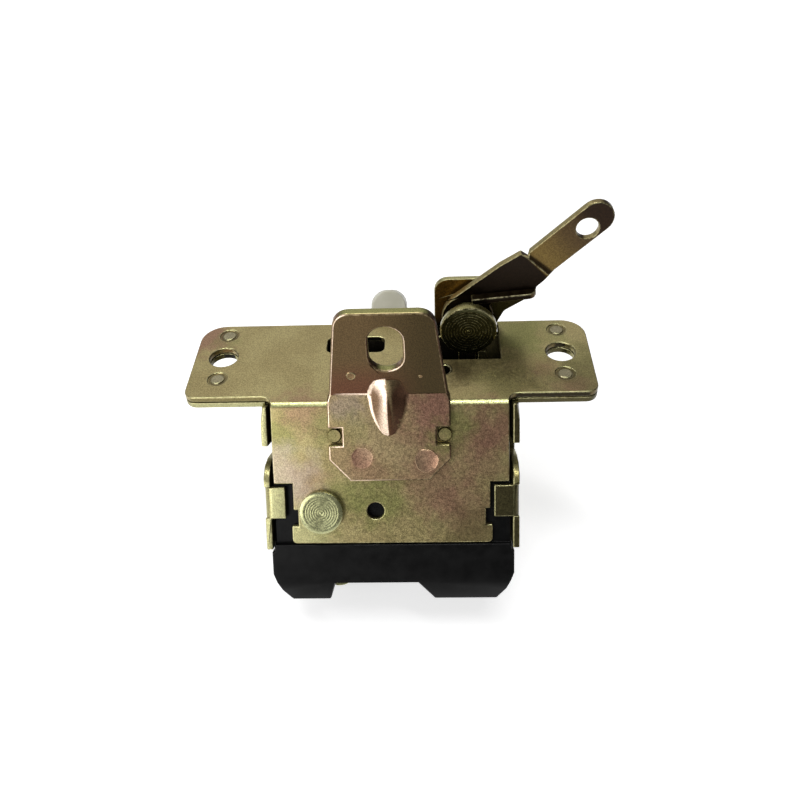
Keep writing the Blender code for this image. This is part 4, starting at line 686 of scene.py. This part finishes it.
# %% [markdown]
# A lathe's tool leaves fine rings on the face of a head, and a small nib in the middle where the
# blank was cut off. They could be drawn in the finish alone, but as real steps they also show in
# the mesh and at a low angle. The lever's collar has a groove round it.

# %% Turned heads
HEAD_STEPS, MARK_STEPS = 72, 48            # flats round a head and round a small mark
TURNED_SHADING = radians(32)


def turned(name, profile, axis_point, axis_way, finish, steps=HEAD_STEPS):
    """Turns (radius, height) points, in millimetres, about an axis. A third item marks wear, which
    the film paints paler, partly as painted highlight.
    """
    line = bpy.data.meshes.new(name + "_line")
    line.from_pydata([(radius * MM, 0, height * MM) for radius, height, *_ in profile],
                     [(i, i + 1) for i in range(len(profile) - 1)], [])
    line.attributes.new("worn", "FLOAT", "POINT").data.foreach_set(
        "value", [point[2] if len(point) > 2 else 0.0 for point in profile])
    blank = bpy.data.objects.new(name + "_line", line)
    scene.collection.objects.link(blank)
    lathe = blank.modifiers.new("lathe", "NODES")
    lathe.node_group = LATHE
    lathe[LATHE_INPUTS["Steps"]] = steps
    lathe[LATHE_INPUTS["Finish"]] = finish
    piece = plain_mesh(blank, name)
    piece.data.materials.pop(index=0)      # the grid's own empty slot
    across = axis_way.to_track_quat("Z", "Y").to_matrix().to_4x4()
    bm = bmesh.new()
    bm.from_mesh(piece.data)
    bm.transform(Matrix.Translation(axis_point) @ across)
    bmesh.ops.recalc_face_normals(bm, faces=bm.faces)
    bm.to_mesh(piece.data)
    bm.free()
    piece.data.shade_smooth()
    piece.data.set_sharp_from_angle(angle=TURNED_SHADING)
    return piece


NIB_RADIUS, NIB_FOOT, FIRST_RING = 0.35, 0.6, 1.0


def tool_rings(radius, height, depth, pitch):
    """Face of a turned head from its nib to its rim: a shallow ring every `pitch` of radius."""
    points = [(0, height + 3 * depth), (NIB_RADIUS, height + 2.5 * depth), (NIB_FOOT, height)]
    for i in range(int((radius - FIRST_RING) / pitch)):
        ridge = FIRST_RING + i * pitch
        # Each crest is marked worn, so the finish paints it paler, partly as painted highlight.
        points += [(ridge - 0.55 * pitch, height - depth), (ridge - 0.15 * pitch, height, 1.0),
                   (ridge, height)]
    return points


RIVET_FACE, PIN_FACE = (6.5, 2.58), (8.8, -0.32)        # radius and height
rivet = turned("fork_pivot_rivet_turned", tool_rings(*RIVET_FACE, 0.07, 0.75) + [
    (*RIVET_FACE, 1), (6.78, 2.42, 1), (6.85, 2.15), (6.85, 0.42, 1), (6.7, 0.3), (4.0, 0.3),
    (4.0, -35.3), (6.0, -35.3), (5.9, -36.2), (5.3, -37.0), (0, -37.1)],
    Vector(joints["fork_turn"]["pos_m"]), OUTWARD, rivet_zinc)
stands_for(rivet, "fork_pivot_rivet")
pin_low, pin_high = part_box("lever_pivot_pin")
pin_point = Vector((LEVER_AXIS.x, pin_low[1], LEVER_AXIS.z))
pin_length = (pin_high[1] - pin_low[1]) / MM
pin = turned("lever_pivot_pin_turned", tool_rings(*PIN_FACE, 0.09, 0.95) + [
    (*PIN_FACE, 1), (9.12, -0.50, 1), (9.22, -0.85), (9.22, -2.75, 1), (9.05, -3.15), (3.5, -3.2),
    (3.5, 1.5 - pin_length), (4.9, 1.5 - pin_length), (4.8, 0.6 - pin_length),
    (4.2, 0.1 - pin_length), (0, -pin_length)], pin_point, FORWARD, pin_zinc)
stands_for(pin, "lever_pivot_pin")
collar_low, collar_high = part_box("lever_collar")
collar_length = (collar_high[1] - collar_low[1]) / MM
collar_point = Vector((pin_point.x, collar_low[1], pin_point.z))
collar = turned("lever_collar_turned", [
    (3.8, 0), (5.9, 0, 1), (6.25, -0.35), (6.25, -1.9, 1), (6.0, -2.15), (6.0, -2.5, 1),
    (6.3, -2.75), (6.3, 0.35 - collar_length, 1), (5.95, -collar_length), (3.8, -collar_length),
    (3.8, 0)], collar_point, FORWARD, pin_zinc)
stands_for(collar, "lever_collar")
print("turned pieces", rivet.name, pin.name, collar.name)

# %% [markdown]
# Two spot welds hold the bracket's foot, and each has pressed a shallow dish with a raised rim into
# it. A punch has left two small rings on the upright. Cut into the bracket's own mesh they would
# leave long, thin triangles, so each mark is a low piece of its own that is set into the face.

# %% Weld dishes and punch marks
DISH_LIFT, MARK_FOOT, MARK_ROOT = 0.03, -0.05, -0.3     # above the face, just in it, deep in it
UNEVEN = ((0.03, 3, 1), (0.02, 7, 0))      # share of the radius, waves round the mark, their start


def pressed_mark(name, spot, way, radius, rim, finish):
    """A dish with a raised and slightly uneven rim, set into a face."""
    foot = radius + 2 * rim
    piece = turned(name, [(0, DISH_LIFT), (radius - 3 * rim, DISH_LIFT), (radius - rim, rim, 1),
                          (radius, 1.15 * rim, 1), (radius + rim, 0.5 * rim), (foot, MARK_FOOT),
                          (foot, MARK_ROOT), (0, MARK_ROOT)], spot, way, finish, MARK_STEPS)
    for vertex in piece.data.vertices:
        offset = vertex.co - spot
        turn = atan2(offset.z, offset.x)
        vertex.co += offset * sum(share * sin(waves * turn + start)
                                  for share, waves, start in UNEVEN)
    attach(piece, "casing")


BRACKET_FRONT_Y = -24.55
left_weld, right_weld = (on_plate(*weld, BRACKET_LIFT) for weld in WELDS)
MARKS = (("left_weld_dish", left_weld, OUTWARD, 3.2, 0.04, weld_zinc),
         ("right_weld_dish", right_weld, OUTWARD, 3.5, 0.09, weld_zinc),
         ("punch_ring", Vector((-10.7, BRACKET_FRONT_Y, 16.1)) * MM, FORWARD, 1.25, 0.18,
          punched_zinc),
         ("faint_punch_ring", Vector((9.94, BRACKET_FRONT_Y, 15.5)) * MM, FORWARD, 0.5, 0.06,
          punched_zinc))
for mark in MARKS:
    pressed_mark(*mark)
print("marks", len(MARKS))

# %% [markdown]
# The spacers, washers, springs, shaft and buffer lie inside or behind the casing. Rounding them
# would cost faces that hardly show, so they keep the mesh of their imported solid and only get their
# finish.

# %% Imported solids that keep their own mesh
KEPT = {"fork_front_spacer": steel, "fork_rear_spacer": steel, "pawl_front_spacer": steel,
        "pawl_rear_spacer": steel, "arm_washer": steel, "shaft_clip": steel,
        "lever_washer": steel, "pawl_shaft": plate_zinc, "fork_spring": spring_steel,
        "pawl_spring": spring_steel, "striker_buffer": rubber}
for node, finish in KEPT.items():
    for slot in nodes[node].material_slots:
        slot.material = finish
print("kept nodes", len(KEPT))
